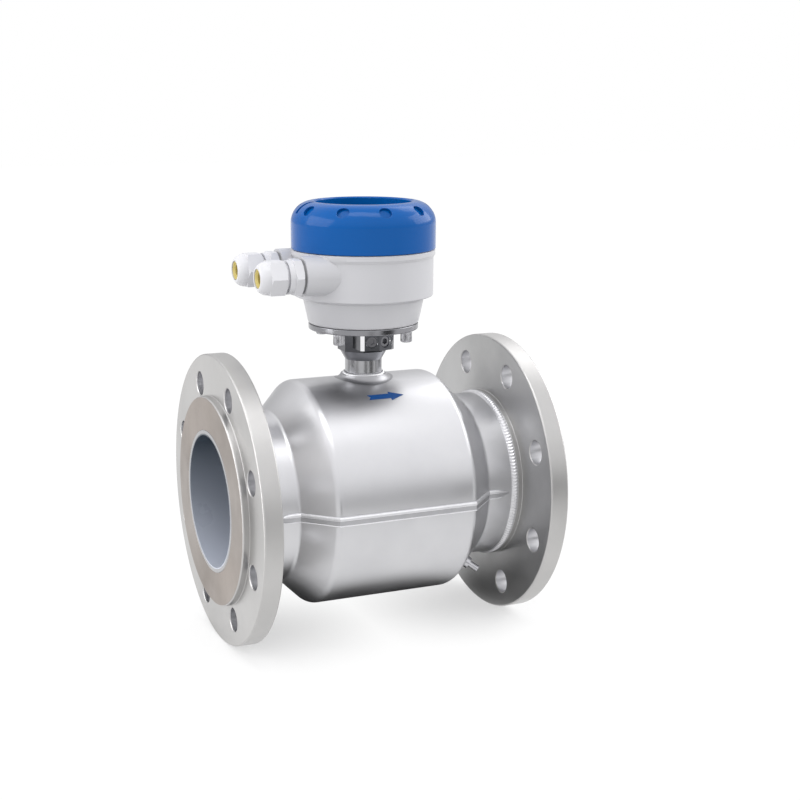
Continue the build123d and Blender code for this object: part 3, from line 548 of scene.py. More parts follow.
def turned_grid(radius: np.ndarray, height: np.ndarray, steps: int) -> np.ndarray:
    """Sweeps a profile round the Z axis: (r cos t, r sin t, z) for each t.

    Args:
        radius: The profile's radii, or radii for each step and profile point.
        height: The profile's heights.
        steps: Points round the circle.

    Returns:
        A grid of steps by profile points, to be closed along its rows.
    """
    turn = np.arange(steps)[:, None] * TAU / steps
    r = np.broadcast_to(radius, (steps, np.shape(height)[-1]))
    z = np.broadcast_to(height, r.shape)
    return np.stack([r * np.cos(turn), r * np.sin(turn), z], axis=-1)


def moved(grid: np.ndarray, matrix: Matrix) -> np.ndarray:
    """Carries a grid of points through a matrix whose lengths are millimetres."""
    turn = np.array(matrix.to_3x3())
    return grid @ turn.T + np.array(matrix.translation)


def axis_frame(origin: Sequence[float], direction: Sequence[float]) -> Matrix:
    """A matrix that puts a piece drawn up the Z axis at a place, along a direction."""
    turn = Vector(direction).to_track_quat("Z", "Y").to_matrix().to_4x4()
    return Matrix.Translation(Vector(origin)) @ turn


@dataclass
class SubAssembly:
    """A group of pieces that are built, dressed and reported together."""

    label: str = "sub-assembly"

    def carry_over(self, names: Sequence[str], finish: Finish) -> None:
        """Dresses CAD nodes whose shape is right as it is.

        Args:
            names: The nodes.
            finish: Their finish.
        """
        for name in names:
            node = frame["nodes"][name]
            for slot in node.material_slots:
                slot.material = finish.material()
            log.info("%s: %s keeps its solid, in %s", self.label, name, finish.name)

    def smoothed(
        self,
        name: str,
        finish: Finish,
        bevel_mm: float = 0.0,
        sharp_deg: float = 30.0,
        segments: int = 2,
    ) -> bpy.types.Object:
        """Replaces a CAD node by its own surface with smooth curves and worn edges.

        The loose triangles are joined, flat areas become single faces, edges that bend more
        than the limit stay sharp or are rounded, and normals lean to the larger faces.

        Args:
            name: The node.
            finish: Its finish.
            bevel_mm: Width of the rounding of sharp edges, or nothing.
            sharp_deg: Edges that bend more than this are sharp.
            segments: Faces across a rounding.

        Returns:
            The new object.
        """
        node = frame["nodes"][name]
        mesh = bpy.data.meshes.new(name + "_dressed")
        shell = bmesh.new()
        shell.from_mesh(node.data)
        bmesh.ops.remove_doubles(shell, verts=shell.verts, dist=2e-6)
        bmesh.ops.dissolve_limit(
            shell, angle_limit=math.radians(0.4), verts=shell.verts, edges=shell.edges
        )
        shell.to_mesh(mesh)
        shell.free()
        mesh.shade_smooth()
        mesh.set_sharp_from_angle(angle=math.radians(sharp_deg))
        mesh.materials.clear()
        mesh.materials.append(finish.material())
        piece = bpy.data.objects.new(name + "_dressed", mesh)
        bpy.context.scene.collection.objects.link(piece)
        if bevel_mm > 0:
            bevel = piece.modifiers.new("worn edges", "BEVEL")
            bevel.width = bevel_mm * MM
            bevel.segments = segments
            bevel.limit_method = "ANGLE"
            bevel.angle_limit = math.radians(sharp_deg)
            bevel.harden_normals = True
        weighted = piece.modifiers.new("flat faces stay flat", "WEIGHTED_NORMAL")
        weighted.keep_sharp = True
        self.publish(piece, self.body_of(name), finish, [name])
        return piece

    def body_of(self, name: str) -> str:
        """The body that a CAD node belongs to."""
        return frame["nodes"][name]["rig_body"]

    def publish(
        self, piece: bpy.types.Object, body: str, finish: Finish, replaced: Sequence[str] = ()
    ) -> None:
        """Attaches a new piece to the body that it rides on and hides the CAD nodes that it stands for.

        Args:
            piece: The new object.
            body: The body that it moves with.
            finish: Its finish, which goes into the log.
            replaced: CAD nodes that it stands for.
        """
        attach(piece, body)
        if replaced:
            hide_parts(*replaced)
        log.info("%s: %s rides on %s, in %s", self.label, piece.name, body, finish.name)


@dataclass
class PipeEnds(SubAssembly):
    """The two flanges, the measuring tube and its coating."""

    label: str = "pipe ends"
    edge_mm: float = 0.35
    face_radius: float = 79.2
    hub_radius: float = 66.5
    bolt_radius: float = 90.0
    hole_reach: float = 9.5

    def build(self) -> None:
        """Dresses the flanges and the flow passage."""
        for name in ("inlet_flange", "outlet_flange"):
            self.faced(self.smoothed(name, FLANGE_STEEL, self.edge_mm))
        self.smoothed("bore_coating", BORE_POLYMER)
        self.carry_over(
            ["inlet_pipe_end", "inlet_transition", "measuring_tube", "outlet_transition", "outlet_pipe_end"],
            BRUSHED_TUBE,
        )
        self.carry_over(["front_electrode", "rear_electrode", "reference_electrode"], ELECTRODE_METAL)
        self.carry_over(["electrode_bushes"], WHITE_BUSH)
        self.carry_over(["electrode_washers", "electrode_nuts"], PLATED_SCREW)

    def faced(self, flange: bpy.types.Object) -> None:
        """Gives the raised face, the back and the bolt holes of a flange their own finishes.

        The raised face is the flat at the end of the pipe, the back is the outlet's flat that
        looks towards the middle of the pipe, and the holes are the walls near the bolt circle.
        The outlet's back gets a darker grey, which is painted shade; the inlet's back keeps the lighter finish
        of its front.

        Args:
            flange: A dressed flange.
        """
        mesh = flange.data
        # The back's darker grey is painted shade
        for finish in (SEALING_STEEL, BACK_STEEL_PAINTED_SHADE, BLASTED_STEEL):
            mesh.materials.append(finish.material())
        count = len(mesh.polygons)
        centre, normal = np.empty(count * 3), np.empty(count * 3)
        mesh.polygons.foreach_get("center", centre)
        mesh.polygons.foreach_get("normal", normal)
        centre, normal = centre.reshape(-1, 3) / MM, normal.reshape(-1, 3)
        inward = np.sign(LENGTH / 2 - centre[:, 0]) * normal[:, 0]
        from_end = np.minimum(np.abs(centre[:, 0]), np.abs(LENGTH - centre[:, 0]))
        radius = np.hypot(centre[:, 1], centre[:, 2])
        sealing = (from_end < 0.5) & (inward < -0.98) & (radius < self.face_radius)
        back = (inward > 0.98) & (radius > self.hub_radius) & (centre[:, 0] > LENGTH / 2)
        holes = (np.abs(inward) < 0.1) & (np.abs(radius - self.bolt_radius) < self.hole_reach)
        number = sealing + 2 * back + 3 * holes
        mesh.polygons.foreach_set("material_index", number.astype(np.int32))


@dataclass
class Housing(SubAssembly):
    """The sheet steel housing with its welds, arrow and earth stud."""

    label: str = "housing"
    drum_radius: float = 86.0
    collar_radius: float = 64.0
    hub_end: float = 24.0
    bead_width: float = 5.0
    bead_height: float = 2.3
    ripple_pitch: float = 2.5
    ripple_height: float = 0.55
    seam_half_width: float = 3.65
    seam_drop: float = 0.65
    seam_height: float = 2.0
    seam_start: float = 31.0
    seam_taper: float = 12.0
    trough_z: tuple[float, float] = (-3.1, 0.3)
    cone_start: float = 48.5
    cone_end: float = 70.5
    arrow_turn_deg: float = 26.0
    arrow_start: float = 113.0
    arrow_neck: float = 130.5
    arrow_end: float = 141.7
    arrow_shaft: float = 2.7
    arrow_head: float = 5.1
    arrow_notch: float = 2.0
    ink_thickness: float = 0.12

    def build(self) -> None:
        """Dresses the shells and builds the beads, the seam, the arrow and the stud."""
        for name in ("upper_housing_shell", "lower_housing_shell"):
            self.smoothed(name, BLASTED_STEEL, sharp_deg=40.0)
        self.ring_bead("inlet_weld", self.hub_end, 1.0)
        self.ring_bead("outlet_weld", LENGTH - self.hub_end, -1.0)
        self.seam("front_seam_weld", -1.0)
        self.seam("rear_seam_weld", 1.0)
        self.arrow()
        self.carry_over(["earth_stud"], PLATED_SCREW)

    def ring_bead(self, node: str, hub_x: float, inward: float) -> None:
        """Builds the rippled bead between a hub and the collar.

        Across the bead the crown falls as cos(pi s / 2) to the power 0.8. Along it, ripples
        a pitch apart rise as ((1 + cos(2 pi phase)) / 2) squared, and the phase lags by
        (2 s - 1) squared, which bends each ripple into a crescent.

        Args:
            node: The CAD bead that it stands for.
            hub_x: Where the hub ends.
            inward: One at the inlet and minus one at the outlet.
        """
        crown_radius = self.collar_radius + self.bead_height
        count = round(TAU * crown_radius / self.ripple_pitch)
        turn = np.arange(count * 6)[:, None] * TAU / (count * 6)
        s = np.linspace(0.0, 1.0, 11)[None, :]
        phase = turn * count / TAU + 0.35 * (2 * s - 1) ** 2
        ripple = ((1 + np.cos(TAU * phase)) / 2) ** 2 * np.sin(math.pi * np.clip(s, 0.02, 0.98))
        radius = self.collar_radius + self.bead_height * np.cos(math.pi * s / 2) ** 0.8
        radius = radius + self.ripple_height * (ripple - 0.4)
        x = hub_x + inward * self.bead_width * s + 0 * turn
        root_radius = np.full_like(turn, self.collar_radius - 0.3)
        radius = np.concatenate([radius, root_radius, root_radius], axis=1)
        ends = [hub_x + inward * self.bead_width + 0 * turn, hub_x + 0 * turn]
        x = np.concatenate([x, *ends], axis=1)
        grid = np.stack([x, radius * np.cos(turn), radius * np.sin(turn)], axis=-1)
        surface = Surface(node + "_rippled")
        surface.add_grid(grid, wrap_rows=True, wrap_columns=True)
        self.publish(surface.object(WELD_METAL, 60.0), "meter", WELD_METAL, [node])

    def seam(self, node: str, side: float) -> None:
        """Builds the raised seam along one side of the housing.

        The ridge follows the housing's side line. Across it, from v = 1 at the top to -1 at
        the foot, its height is h times the largest of three forms: a broad round rib at the
        top, sqrt(1 - ((v - 0.5) / 0.5)^2), a flat band below it, and a thin round lip at the
        foot, with fine ripples along the rib. It thins out over its taper at both ends.

        Args:
            node: The CAD ridge that it stands for.
            side: Minus one for the near side and one for the far side.
        """
        half = LENGTH / 2
        x = np.linspace(self.seam_start, LENGTH - self.seam_start, 720)
        from_end = half - np.abs(x - half)
        base = np.interp(
            from_end, [0, self.cone_start, self.cone_end, half],
            [self.collar_radius, self.collar_radius, self.drum_radius, self.drum_radius],
        )
        share = np.clip((from_end - self.seam_start) / self.seam_taper, 0, 1)
        height = 0.4 + (self.seam_height - 0.4) * np.sin(share * math.pi / 2)
        width = self.seam_half_width * (0.15 + 0.85 * np.sin(share * math.pi / 2))
        v = np.linspace(-1.0, 1.0, 41)
        rib = np.sqrt(np.clip(1 - ((v - 0.5) / 0.5) ** 2, 0, 1))
        lip = 0.95 * np.sqrt(np.clip(1 - ((v + 0.84) / 0.16) ** 2, 0, 1))
        band = 0.62 * np.clip((v + 1) / 0.1, 0, 1) * (v < 0.5)
        form = np.maximum(np.maximum(rib, lip), band)
        ripple = 0.04 * np.cos(TAU * x / 1.5)[:, None] * rib[None, :]
        crown = base[:, None] + height[:, None] * form[None, :] + ripple
        z = width[:, None] * v[None, :] - self.seam_drop
        root = base[:, None] - 0.8
        reach = np.concatenate([crown, root, root], axis=1)
        z = np.concatenate([z, z[:, -1:], z[:, :1]], axis=1)
        grid = np.stack([np.broadcast_to(x[:, None], reach.shape), side * reach, z], axis=-1)
        surface = Surface(node + "_ridge")
        surface.add_grid(grid, wrap_columns=True)
        for row in (grid[:1], grid[-1:]):
            middle = np.broadcast_to(row.mean(axis=1, keepdims=True), row.shape)
            surface.add_grid(np.concatenate([row, middle]), wrap_columns=True)
        # Painted highlight on the rib and lip, painted shade on the trough between them
        ridge = surface.object(GROUND_SEAM_PAINTED_HIGHLIGHT, 50.0)
        ridge.data.materials.append(SEAM_TROUGH_PAINTED_SHADE.material())
        centre = np.empty(len(ridge.data.polygons) * 3)
        ridge.data.polygons.foreach_get("center", centre)
        height = centre.reshape(-1, 3)[:, 2] / MM
        low, high = self.trough_z
        trough = (height > low) & (height < high)
        ridge.data.polygons.foreach_set("material_index", trough.astype(np.int32))
        self.publish(ridge, "meter", GROUND_SEAM_PAINTED_HIGHLIGHT, [node])

    def arrow(self) -> None:
        """Builds the printed flow arrow as a thin skin on the drum.

        At a distance u along the arrow its edge is at the shaft's half width up to the neck
        and then falls evenly from the head's half width to nothing. The tail is set back by
        the notch on the centre line. Across, the ink follows the drum's circle.
        """
        surface = Surface("flow_arrow")
        v = np.linspace(-1.0, 1.0, 13)
        shaft_u = np.linspace(0.0, 1.0, 12)[:, None]
        tail = self.arrow_start + self.arrow_notch * (1 - np.abs(v))[None, :]
        shaft_x = tail + (self.arrow_neck - tail) * shaft_u
        shaft_w = np.broadcast_to(self.arrow_shaft * v[None, :], shaft_x.shape)
        head_u = np.linspace(0.0, 1.0, 12)[:, None]
        head_x = np.broadcast_to(
            self.arrow_neck + (self.arrow_end - self.arrow_neck) * head_u, (12, v.size)
        )
        head_w = self.arrow_head * (1 - head_u) * v[None, :]
        for along, across in ((shaft_x, shaft_w), (head_x, head_w)):
            layers = []
            for lift in (0.02, 0.02 + self.ink_thickness):
                radius = self.drum_radius + lift
                turn = math.radians(self.arrow_turn_deg) + across / self.drum_radius
                layers.append(np.stack([along, -radius * np.sin(turn), radius * np.cos(turn)], axis=-1))
            low, high = layers
            surface.add_grid(high)
            surface.add_grid(low, flip=True)
            for inner, outer in (
                (low[0], high[0]), (low[-1], high[-1]), (low[:, 0], high[:, 0]), (low[:, -1], high[:, -1]),
            ):
                surface.add_grid(np.stack([inner, outer]))
        self.publish(surface.object(ARROW_INK, 30.0), "meter", ARROW_INK)


@dataclass
class MagnetSystem(SubAssembly):
    """The coils, pole pieces and yokes inside the housing."""

    label: str = "magnet system"

    def build(self) -> None:
        """Dresses the iron, the bobbins and the copper."""
        self.carry_over(["upper_pole_piece", "lower_pole_piece", "front_yoke", "rear_yoke"], MAGNET_IRON)
        self.carry_over(["upper_coil_bobbin", "lower_coil_bobbin"], BLACK_MOULDING)
        self.carry_over(["upper_coil_winding", "lower_coil_winding"], COPPER_WINDING)
        self.carry_over(["lead_bundle"], BRAIDED_SLEEVE)


@dataclass
class Neck(SubAssembly):
    """The neck, its weld, the adapter block, the plate and their screws."""

    label: str = "neck"
    neck_radius: float = 14.0
    weld_outer: float = 16.2
    weld_foot: float = 88.7
    weld_height: float = 1.6
    weld_pitch: float = 1.5
    drum_radius: float = 86.02
    flare_inner: float = 17.2
    flare_outer: float = 22.5
    flare_power: float = 3.4
    wall_foot: float = 106.0
    corner_normal: tuple[float, float] = (0.5, 0.69)
    corner_reach: float = 24.0
    screw_circle: float = 36.7
    screw_turn_deg: float = 38.0
    head_radius: float = 4.35
    head_base: float = 115.4
    plate_base: float = 123.4
    thread_top: float = 135.4
    thread_radius: float = 2.5
    socket_flats: float = 4.0
    knurl_count: int = 20
    knurl_depth: float = 0.5

    def build(self) -> None:
        """Dresses the neck and builds its bead and the ribbed screw heads."""
        self.smoothed("neck_tube", BRUSHED_TUBE)
        self.flare()
        self.bead()
        self.milled(self.smoothed("neck_adapter", MACHINED_ADAPTER, 0.2))
        self.smoothed("adapter_screws", DARK_SCREW, 0.15)
        self.smoothed("adapter_plate", TURNED_PLATE, 0.25)
        self.screws()

    def milled(self, adapter: bpy.types.Object) -> None:
        """Gives the adapter's upright walls a darker grey, which is painted shade, and its clipped corners a
        near white one, which is a painted highlight.

        A wall is upright where its normal is level, and it is a clipped corner of a lug where
        the normal's share along X is between the limits and the wall lies beyond the core.

        Args:
            adapter: The dressed adapter.
        """
        mesh = adapter.data
        # Painted shade on the upright walls, painted highlight on the clipped corners
        for finish in (ADAPTER_WALL_PAINTED_SHADE, ADAPTER_CORNER_PAINTED_HIGHLIGHT):
            mesh.materials.append(finish.material())
        count = len(mesh.polygons)
        centre, normal = np.empty(count * 3), np.empty(count * 3)
        mesh.polygons.foreach_get("center", centre)
        mesh.polygons.foreach_get("normal", normal)
        centre, normal = centre.reshape(-1, 3) / MM, np.abs(normal.reshape(-1, 3))
        low, high = self.corner_normal
        wall = (normal[:, 2] < 0.05) & (centre[:, 2] > self.wall_foot)
        corner = wall & (normal[:, 0] > low) & (normal[:, 0] < high)
        corner &= np.abs(centre[:, 1]) > self.corner_reach
        mesh.polygons.foreach_set("material_index", (wall + 1 * corner).astype(np.int32))

    def flare(self) -> None:
        """Builds the soft fillet where the drum's sheet is drawn up to the neck.

        At a radius r from the neck's axis the drum's height is sqrt(R^2 - y^2). The skin
        stands on it by the collar's rise times (1 - s)^p, where s goes from 0 at the
        collar's lip to 1 at the outer edge, so that it leaves the drum without a crease.
        """
        turn = np.linspace(0.0, TAU, 144, endpoint=False)[:, None]
        s = np.linspace(0.0, 1.0, 22)[None, :]
        radius = self.flare_inner + (self.flare_outer - self.flare_inner) * s + 0 * turn
        drum = np.sqrt(self.drum_radius ** 2 - (radius * np.sin(turn)) ** 2)
        rise = self.weld_foot - drum[:, :1]
        height = drum + rise * (1 - s) ** self.flare_power
        lip = np.full_like(turn, self.neck_radius + 0.02)
        edge = np.full_like(turn, self.flare_outer)
        radius = np.concatenate([lip, radius, edge, lip], axis=1)
        top = np.full_like(turn, self.weld_foot)
        height = np.concatenate([top, height, height[:, -1:] - 0.5, top - 6.0], axis=1)
        grid = np.stack([NECK_X + radius * np.cos(turn), radius * np.sin(turn), height], axis=-1)
        surface = Surface("neck_flare")
        surface.add_grid(grid, wrap_rows=True, wrap_columns=True)
        # Painted shade: the fillet takes a darker grey than the drum
        self.publish(surface.object(DRAWN_COLLAR_PAINTED_SHADE, 60.0), "meter", DRAWN_COLLAR_PAINTED_SHADE)

    def bead(self) -> None:
        """Builds the fine beaded weld round the neck's foot.

        The profile falls from the neck outwards as cos(pi s / 2), and each bead of the ring
        swells it by (1 + cos(2 pi n t)) / 2 times sin(pi s).
        """
        count = round(TAU * self.weld_outer / self.weld_pitch)
        steps = count * 8
        turn = np.arange(steps)[:, None] * TAU / steps
        s = np.linspace(0.0, 1.0, 9)[None, :]
        swell = (1 + np.cos(turn * count)) / 2 * np.sin(math.pi * s)
        radius = self.neck_radius + 0.02 + (self.weld_outer - self.neck_radius) * s + 0.25 * swell
        height = self.weld_foot + self.weld_height * np.cos(math.pi * s / 2) + 0.35 * swell
        radius = np.concatenate([radius + 0 * turn, np.full_like(turn, self.weld_outer)], axis=1)
        height = np.concatenate([height + 0 * turn, np.full_like(turn, self.weld_foot - 0.3)], axis=1)
        radius = np.concatenate([radius, np.full_like(turn, self.neck_radius + 0.02)], axis=1)
        height = np.concatenate([height, np.full_like(turn, self.weld_foot - 0.3)], axis=1)
        grid = np.stack([NECK_X + radius * np.cos(turn), radius * np.sin(turn), height], axis=-1)
        surface = Surface("neck_weld_beaded")
        surface.add_grid(grid, wrap_rows=True, wrap_columns=True)
        self.publish(surface.object(WELD_METAL, 60.0), "meter", WELD_METAL, ["neck_weld"])

    def screws(self) -> None:
        """Builds the four cap screws with ribbed heads and hexagon sockets.

        Each head is a profile turned round its axis. Its side is drawn in between the ribs
        by the knurl depth times (1 - cos(n t)) / 2, and the socket's radius is that of a
        hexagon, flats / 2 / cos(t - nearest flat).
        """
        surface = Surface("plate_screws_knurled")
        steps = self.knurl_count * 6
        turn = np.arange(steps)[:, None] * TAU / steps
        knurl = self.knurl_depth * (1 - np.cos(turn * self.knurl_count)) / 2
        sixth = TAU / 6
        hexagon = self.socket_flats / 2 / np.cos((turn + sixth / 2) % sixth - sixth / 2)
        base, top, edge = self.head_base, self.plate_base, 0.5
        side = self.head_radius
        profile = [
            (0 * turn, base + 4.0),
            (hexagon, base + 4.0),
            (hexagon, base + 0.2),
            (hexagon + 0.25, base),
            (0 * turn + side - edge - 0.3, base),
            (side - 0.3 + 0 * turn, base + 0.35),
            (side - knurl, base + 0.8),
            (side - knurl, (base + top) / 2),
            (side - knurl, top - 0.5),
            (side - 0.3 + 0 * turn, top - 0.05),
            (0 * turn + self.thread_radius, top - 0.05),
            (0 * turn + self.thread_radius, self.thread_top),
            (0 * turn, self.thread_top),
        ]
        radius = np.concatenate([r for r, _ in profile], axis=1)
        height = np.array([z for _, z in profile])[None, :]
        grid = turned_grid(radius, height, steps)
        for step in range(4):
            angle = math.radians(self.screw_turn_deg + 90 * step)
            shift = np.array([
                NECK_X + self.screw_circle * math.cos(angle), self.screw_circle * math.sin(angle), 0.0,
            ])
            surface.add_grid(grid + shift, wrap_rows=True)
        self.publish(surface.object(PLATED_SCREW, 32.0), "meter", PLATED_SCREW, ["plate_screws"])


@dataclass
class Converter(SubAssembly):
    """The cast converter housing and the electronics inside it."""

    label: str = "converter"

    def build(self) -> None:
        """Dresses the casting, the boards and the display."""
        self.smoothed("converter_housing", GREY_POWDER_COAT, 0.4)
        self.carry_over(["electronics_module"], BLACK_MOULDING)
        self.carry_over(["terminal_board"], CIRCUIT_BOARD)
        self.smoothed("terminal_block", GREY_MOULDING, 0.2)
        self.carry_over(["display_posts"], BRASS)
        self.smoothed("display_frame", BLACK_MOULDING, 0.3)
        self.smoothed("display_screen", LIQUID_CRYSTAL, 0.2)
        self.smoothed("display_keys", GREY_MOULDING, 0.3)
        self.smoothed("display_screws", PLATED_SCREW, 0.2)


@dataclass
class CableGlands(SubAssembly):
    """The two cable glands on the side of the converter."""

    label: str = "cable glands"

    def build(self) -> None:
        """Dresses both glands."""
        for side in ("front", "rear"):
            self.smoothed(side + "_gland_gasket", GREY_RUBBER)
            self.smoothed(side + "_gland_body", GLAND_POLYAMIDE, 0.3)
            self.smoothed(side + "_gland_insert", SEAL_RUBBER_YELLOW, 0.3)
            self.smoothed(side + "_gland_nut", GLAND_POLYAMIDE, 0.4)


@dataclass
class ScrewCover(SubAssembly):
    """The blue screw cover with its window and seals."""

    label: str = "screw cover"

    def build(self) -> None:
        """Dresses the cover and its window."""
        self.smoothed("cover", BLUE_LACQUER, 0.35)
        self.carry_over(["cover_window"], WINDOW_GLASS)
        self.smoothed("cover_seal", BLACK_RUBBER)
        self.carry_over(["window_seal"], BLACK_RUBBER)
        self.carry_over(["window_retainer"], BLACK_MOULDING)


@dataclass
class Studio:
    """The pale floor, the soft lights and the camera at the photograph's place."""

    azimuth_deg: float = 22.8575
    elevation_deg: float = 15.5677
    distance_mm: float = 1148.92
    aim_mm: tuple[float, float, float] = (125.0, 0.0, 0.0)
    focal_px: float = 1472.76
    centre_px: tuple[float, float] = (363.288, 484.071)
    frame_px: float = 800.0
    sensor_mm: float = 36.0
    front_levels: tuple[tuple[float, float], ...] = (
        (0.0, 0.48), (1.0, 0.66), (0.08, 0.58), (0.2, 0.78), (0.5, 0.94), (0.85, 0.85),
    )
    back_levels: tuple[tuple[float, float], ...] = (
        (0.0, 0.44), (1.0, 0.75), (0.25, 0.51), (0.5, 0.75), (0.7, 0.88),
    )
    foot_mm: float = 113.0
    shade_card_mm: tuple[float, float, float, float] = (-12.0, 262.0, -78.0, 110.0)
    upright_cards: tuple[tuple[str, float, float, float, float, float], ...] = (
        ("right_card", 152.0, 690.0, 230.0, -10.0, 130.0),
        ("middle_card", 187.0, 500.0, 110.0, -30.0, 90.0),
    )

    def build(self) -> None:
        """Sets up the camera, the lights, the surroundings, the floor and the dark cards."""
        self.camera()
        self.lights()
        self.surroundings()
        self.floor()
        self.dark_cards()
        view = bpy.context.scene.view_settings
        view.view_transform = "Standard"
        view.look = "None"

    def camera(self) -> None:
        """Places the camera that was fitted to the photograph."""
        az, el = math.radians(self.azimuth_deg), math.radians(self.elevation_deg)
        forward = Vector((math.sin(az) * math.cos(el), math.cos(az) * math.cos(el), -math.sin(el)))
        data = bpy.data.cameras.new("camera")
        data.sensor_width = self.sensor_mm
        data.lens = self.focal_px / self.frame_px * self.sensor_mm
        data.shift_x = 0.5 - self.centre_px[0] / self.frame_px
        data.shift_y = self.centre_px[1] / self.frame_px - 0.5
        data.clip_start, data.clip_end = 0.01, 100.0
        eye = bpy.data.objects.new("camera", data)
        eye.location = (Vector(self.aim_mm) - forward * self.distance_mm) * MM
        eye.rotation_mode = "QUATERNION"
        eye.rotation_quaternion = forward.to_track_quat("-Z", "Y")
        bpy.context.scene.collection.objects.link(eye)
        bpy.context.scene.camera = eye

    def softbox(
        self, name: str, place: Sequence[float], aim: Sequence[float], size: Sequence[float], watts: float
    ) -> None:
        """Adds one rectangular softbox.

        Args:
            name: What it is called.
            place: Where it hangs, in metres.
            aim: The point that it faces, in metres.
            size: Width and height, in metres.
            watts: Its power.
        """
        data = bpy.data.lights.new(name, "AREA")
        data.shape = "RECTANGLE"
        data.size, data.size_y = size
        data.energy = watts
        lamp = bpy.data.objects.new(name, data)
        lamp.location = place
        lamp.rotation_mode = "QUATERNION"
        lamp.rotation_quaternion = (Vector(aim) - Vector(place)).to_track_quat("-Z", "Y")
        lamp.visible_camera = False
        bpy.context.scene.collection.objects.link(lamp)

    def lights(self) -> None:
        """Hangs the softboxes: overhead, large ones at the sides, one behind, a low small one."""
        self.softbox("overhead", (-0.05, -0.3, 1.4), (0.12, 0.0, 0.1), (1.1, 0.5), 6.0)
        self.softbox("left", (-1.5, 0.3, 0.75), (0.05, 0.0, 0.05), (1.5, 1.1), 13.0)
        self.softbox("right", (1.6, 0.0, 0.75), (0.15, 0.0, 0.05), (1.3, 0.9), 10.0)
        self.softbox("behind", (1.2, 0.6, 1.35), (0.15, 0.0, 0.1), (0.9, 0.7), 3.5)
        self.softbox("low left", (-0.475, 0.065, -0.03), (0.125, 0.0, 0.12), (0.16, 0.12), 0.3)

    def height_ramp(
        self, tree: bpy.types.NodeTree, height: bpy.types.NodeSocket, levels: Sequence[tuple[float, float]]
    ) -> bpy.types.NodeSocket:
        """Adds a ramp of light against height in the room.

        Args:
            tree: The world's tree.
            height: Sine of the elevation.
            levels: Pairs of height and level, from the horizon up.

        Returns:
            The ramp's colour.
        """
        ramp = add_node(tree, "ShaderNodeValToRGB", links={0: height})
        stops = ramp.color_ramp.elements
        for number, (position, level) in enumerate(levels):
            stop = stops[number] if number < 2 else stops.new(position)
            stop.position = position
            stop.color = (level, level, level * 1.01, 1)
        return ramp.outputs[0]

    def surroundings(self) -> None:
        """A pale room whose light grows with height, and sooner in front than behind."""
        world = bpy.data.worlds.new("pale studio")
        bpy.context.scene.world = world
        world.use_nodes = True
        tree = world.node_tree
        tree.nodes.clear()
        coords = add_node(tree, "ShaderNodeTexCoord")
        parts = add_node(tree, "ShaderNodeSeparateXYZ", links={0: coords.outputs["Generated"]})
        front = self.height_ramp(tree, parts.outputs["Z"], self.front_levels)
        back = self.height_ramp(tree, parts.outputs["Z"], self.back_levels)
        share = add_node(
            tree, "ShaderNodeMapRange", {"From Min": -0.4, "From Max": 0.2},
            {"Value": parts.outputs["Y"]}, interpolation_type="SMOOTHSTEP",
        )
        room = add_node(
            tree, "ShaderNodeMix", links={0: share.outputs[0], 6: front, 7: back}, data_type="RGBA"
        )
        lit = add_node(tree, "ShaderNodeBackground", {"Strength": 1.3}, {"Color": room.outputs[2]})
        plain = add_node(tree, "ShaderNodeBackground", {"Color": (1, 1, 1, 1), "Strength": 1.0})
        path = add_node(tree, "ShaderNodeLightPath")
        both = add_node(
            tree, "ShaderNodeMixShader",
            links={0: path.outputs["Is Camera Ray"], 1: lit.outputs[0], 2: plain.outputs[0]},
        )
        add_node(tree, "ShaderNodeOutputWorld", links={"Surface": both.outputs[0]})

    def floor(self) -> None:
        """Lays the white floor, a lit sweep that takes shadows only near the flanges' feet.

        The emission's share grows with the distance to the nearer foot, which is that from
        (|x|, |y|) to (foot, 0) with x counted from the neck.
        """
        surface = Surface("floor")
        u = np.linspace(-6000.0, 6000.0, 9)
        x, y = np.meshgrid(u, u, indexing="ij")
        surface.add_grid(np.stack([x, y, np.full_like(x, FLOOR_Z)], axis=-1))
        points = np.concatenate(surface.points) * MM
        mesh = bpy.data.meshes.new("floor")
        mesh.from_pydata(points.tolist(), [], np.concatenate(surface.faces).tolist())
        made = bpy.data.materials.new("matt white floor")
        made.use_nodes = True
        tree = made.node_tree
        tree.nodes.clear()
        coords = add_node(tree, "ShaderNodeTexCoord")
        centred = add_node(
            tree, "ShaderNodeMapping", {"Location": (-NECK_X * MM, 0, -FLOOR_Z * MM)},
            {"Vector": coords.outputs["Object"]},
        )
        folded = add_node(
            tree, "ShaderNodeVectorMath", links={0: centred.outputs[0]}, operation="ABSOLUTE"
        )
        away = add_node(
            tree, "ShaderNodeVectorMath", {1: (self.foot_mm * MM, 0.0, 0.0)},
            {0: folded.outputs[0]}, operation="DISTANCE",
        )
        share = add_node(
            tree, "ShaderNodeMapRange", {"From Min": 0.01, "From Max": 0.15, "To Min": 0.5, "To Max": 0.97},
            {"Value": away.outputs["Value"]}, interpolation_type="SMOOTHSTEP",
        )
        matt = add_node(
            tree, "ShaderNodeBsdfPrincipled", {"Base Color": linear("EEEEEE"), "Roughness": 0.9}
        )
        lit = add_node(tree, "ShaderNodeEmission", {"Color": (1, 1, 1, 1), "Strength": 1.02})
        both = add_node(
            tree, "ShaderNodeMixShader",
            links={0: share.outputs[0], 1: matt.outputs[0], 2: lit.outputs[0]},
        )
        add_node(tree, "ShaderNodeOutputMaterial", links={"Surface": both.outputs[0]})
        mesh.materials.append(made)
        piece = bpy.data.objects.new("floor", mesh)
        bpy.context.scene.collection.objects.link(piece)

    def dark_cards(self) -> None:
        """Lays a dark card under the drum, a painted shade that stands for the shadow on the floor beneath it,
        and stands two in front; only gloss mirrors them.
        """
        low_x, high_x, low_y, high_y = self.shade_card_mm
        level = FLOOR_Z + 0.5
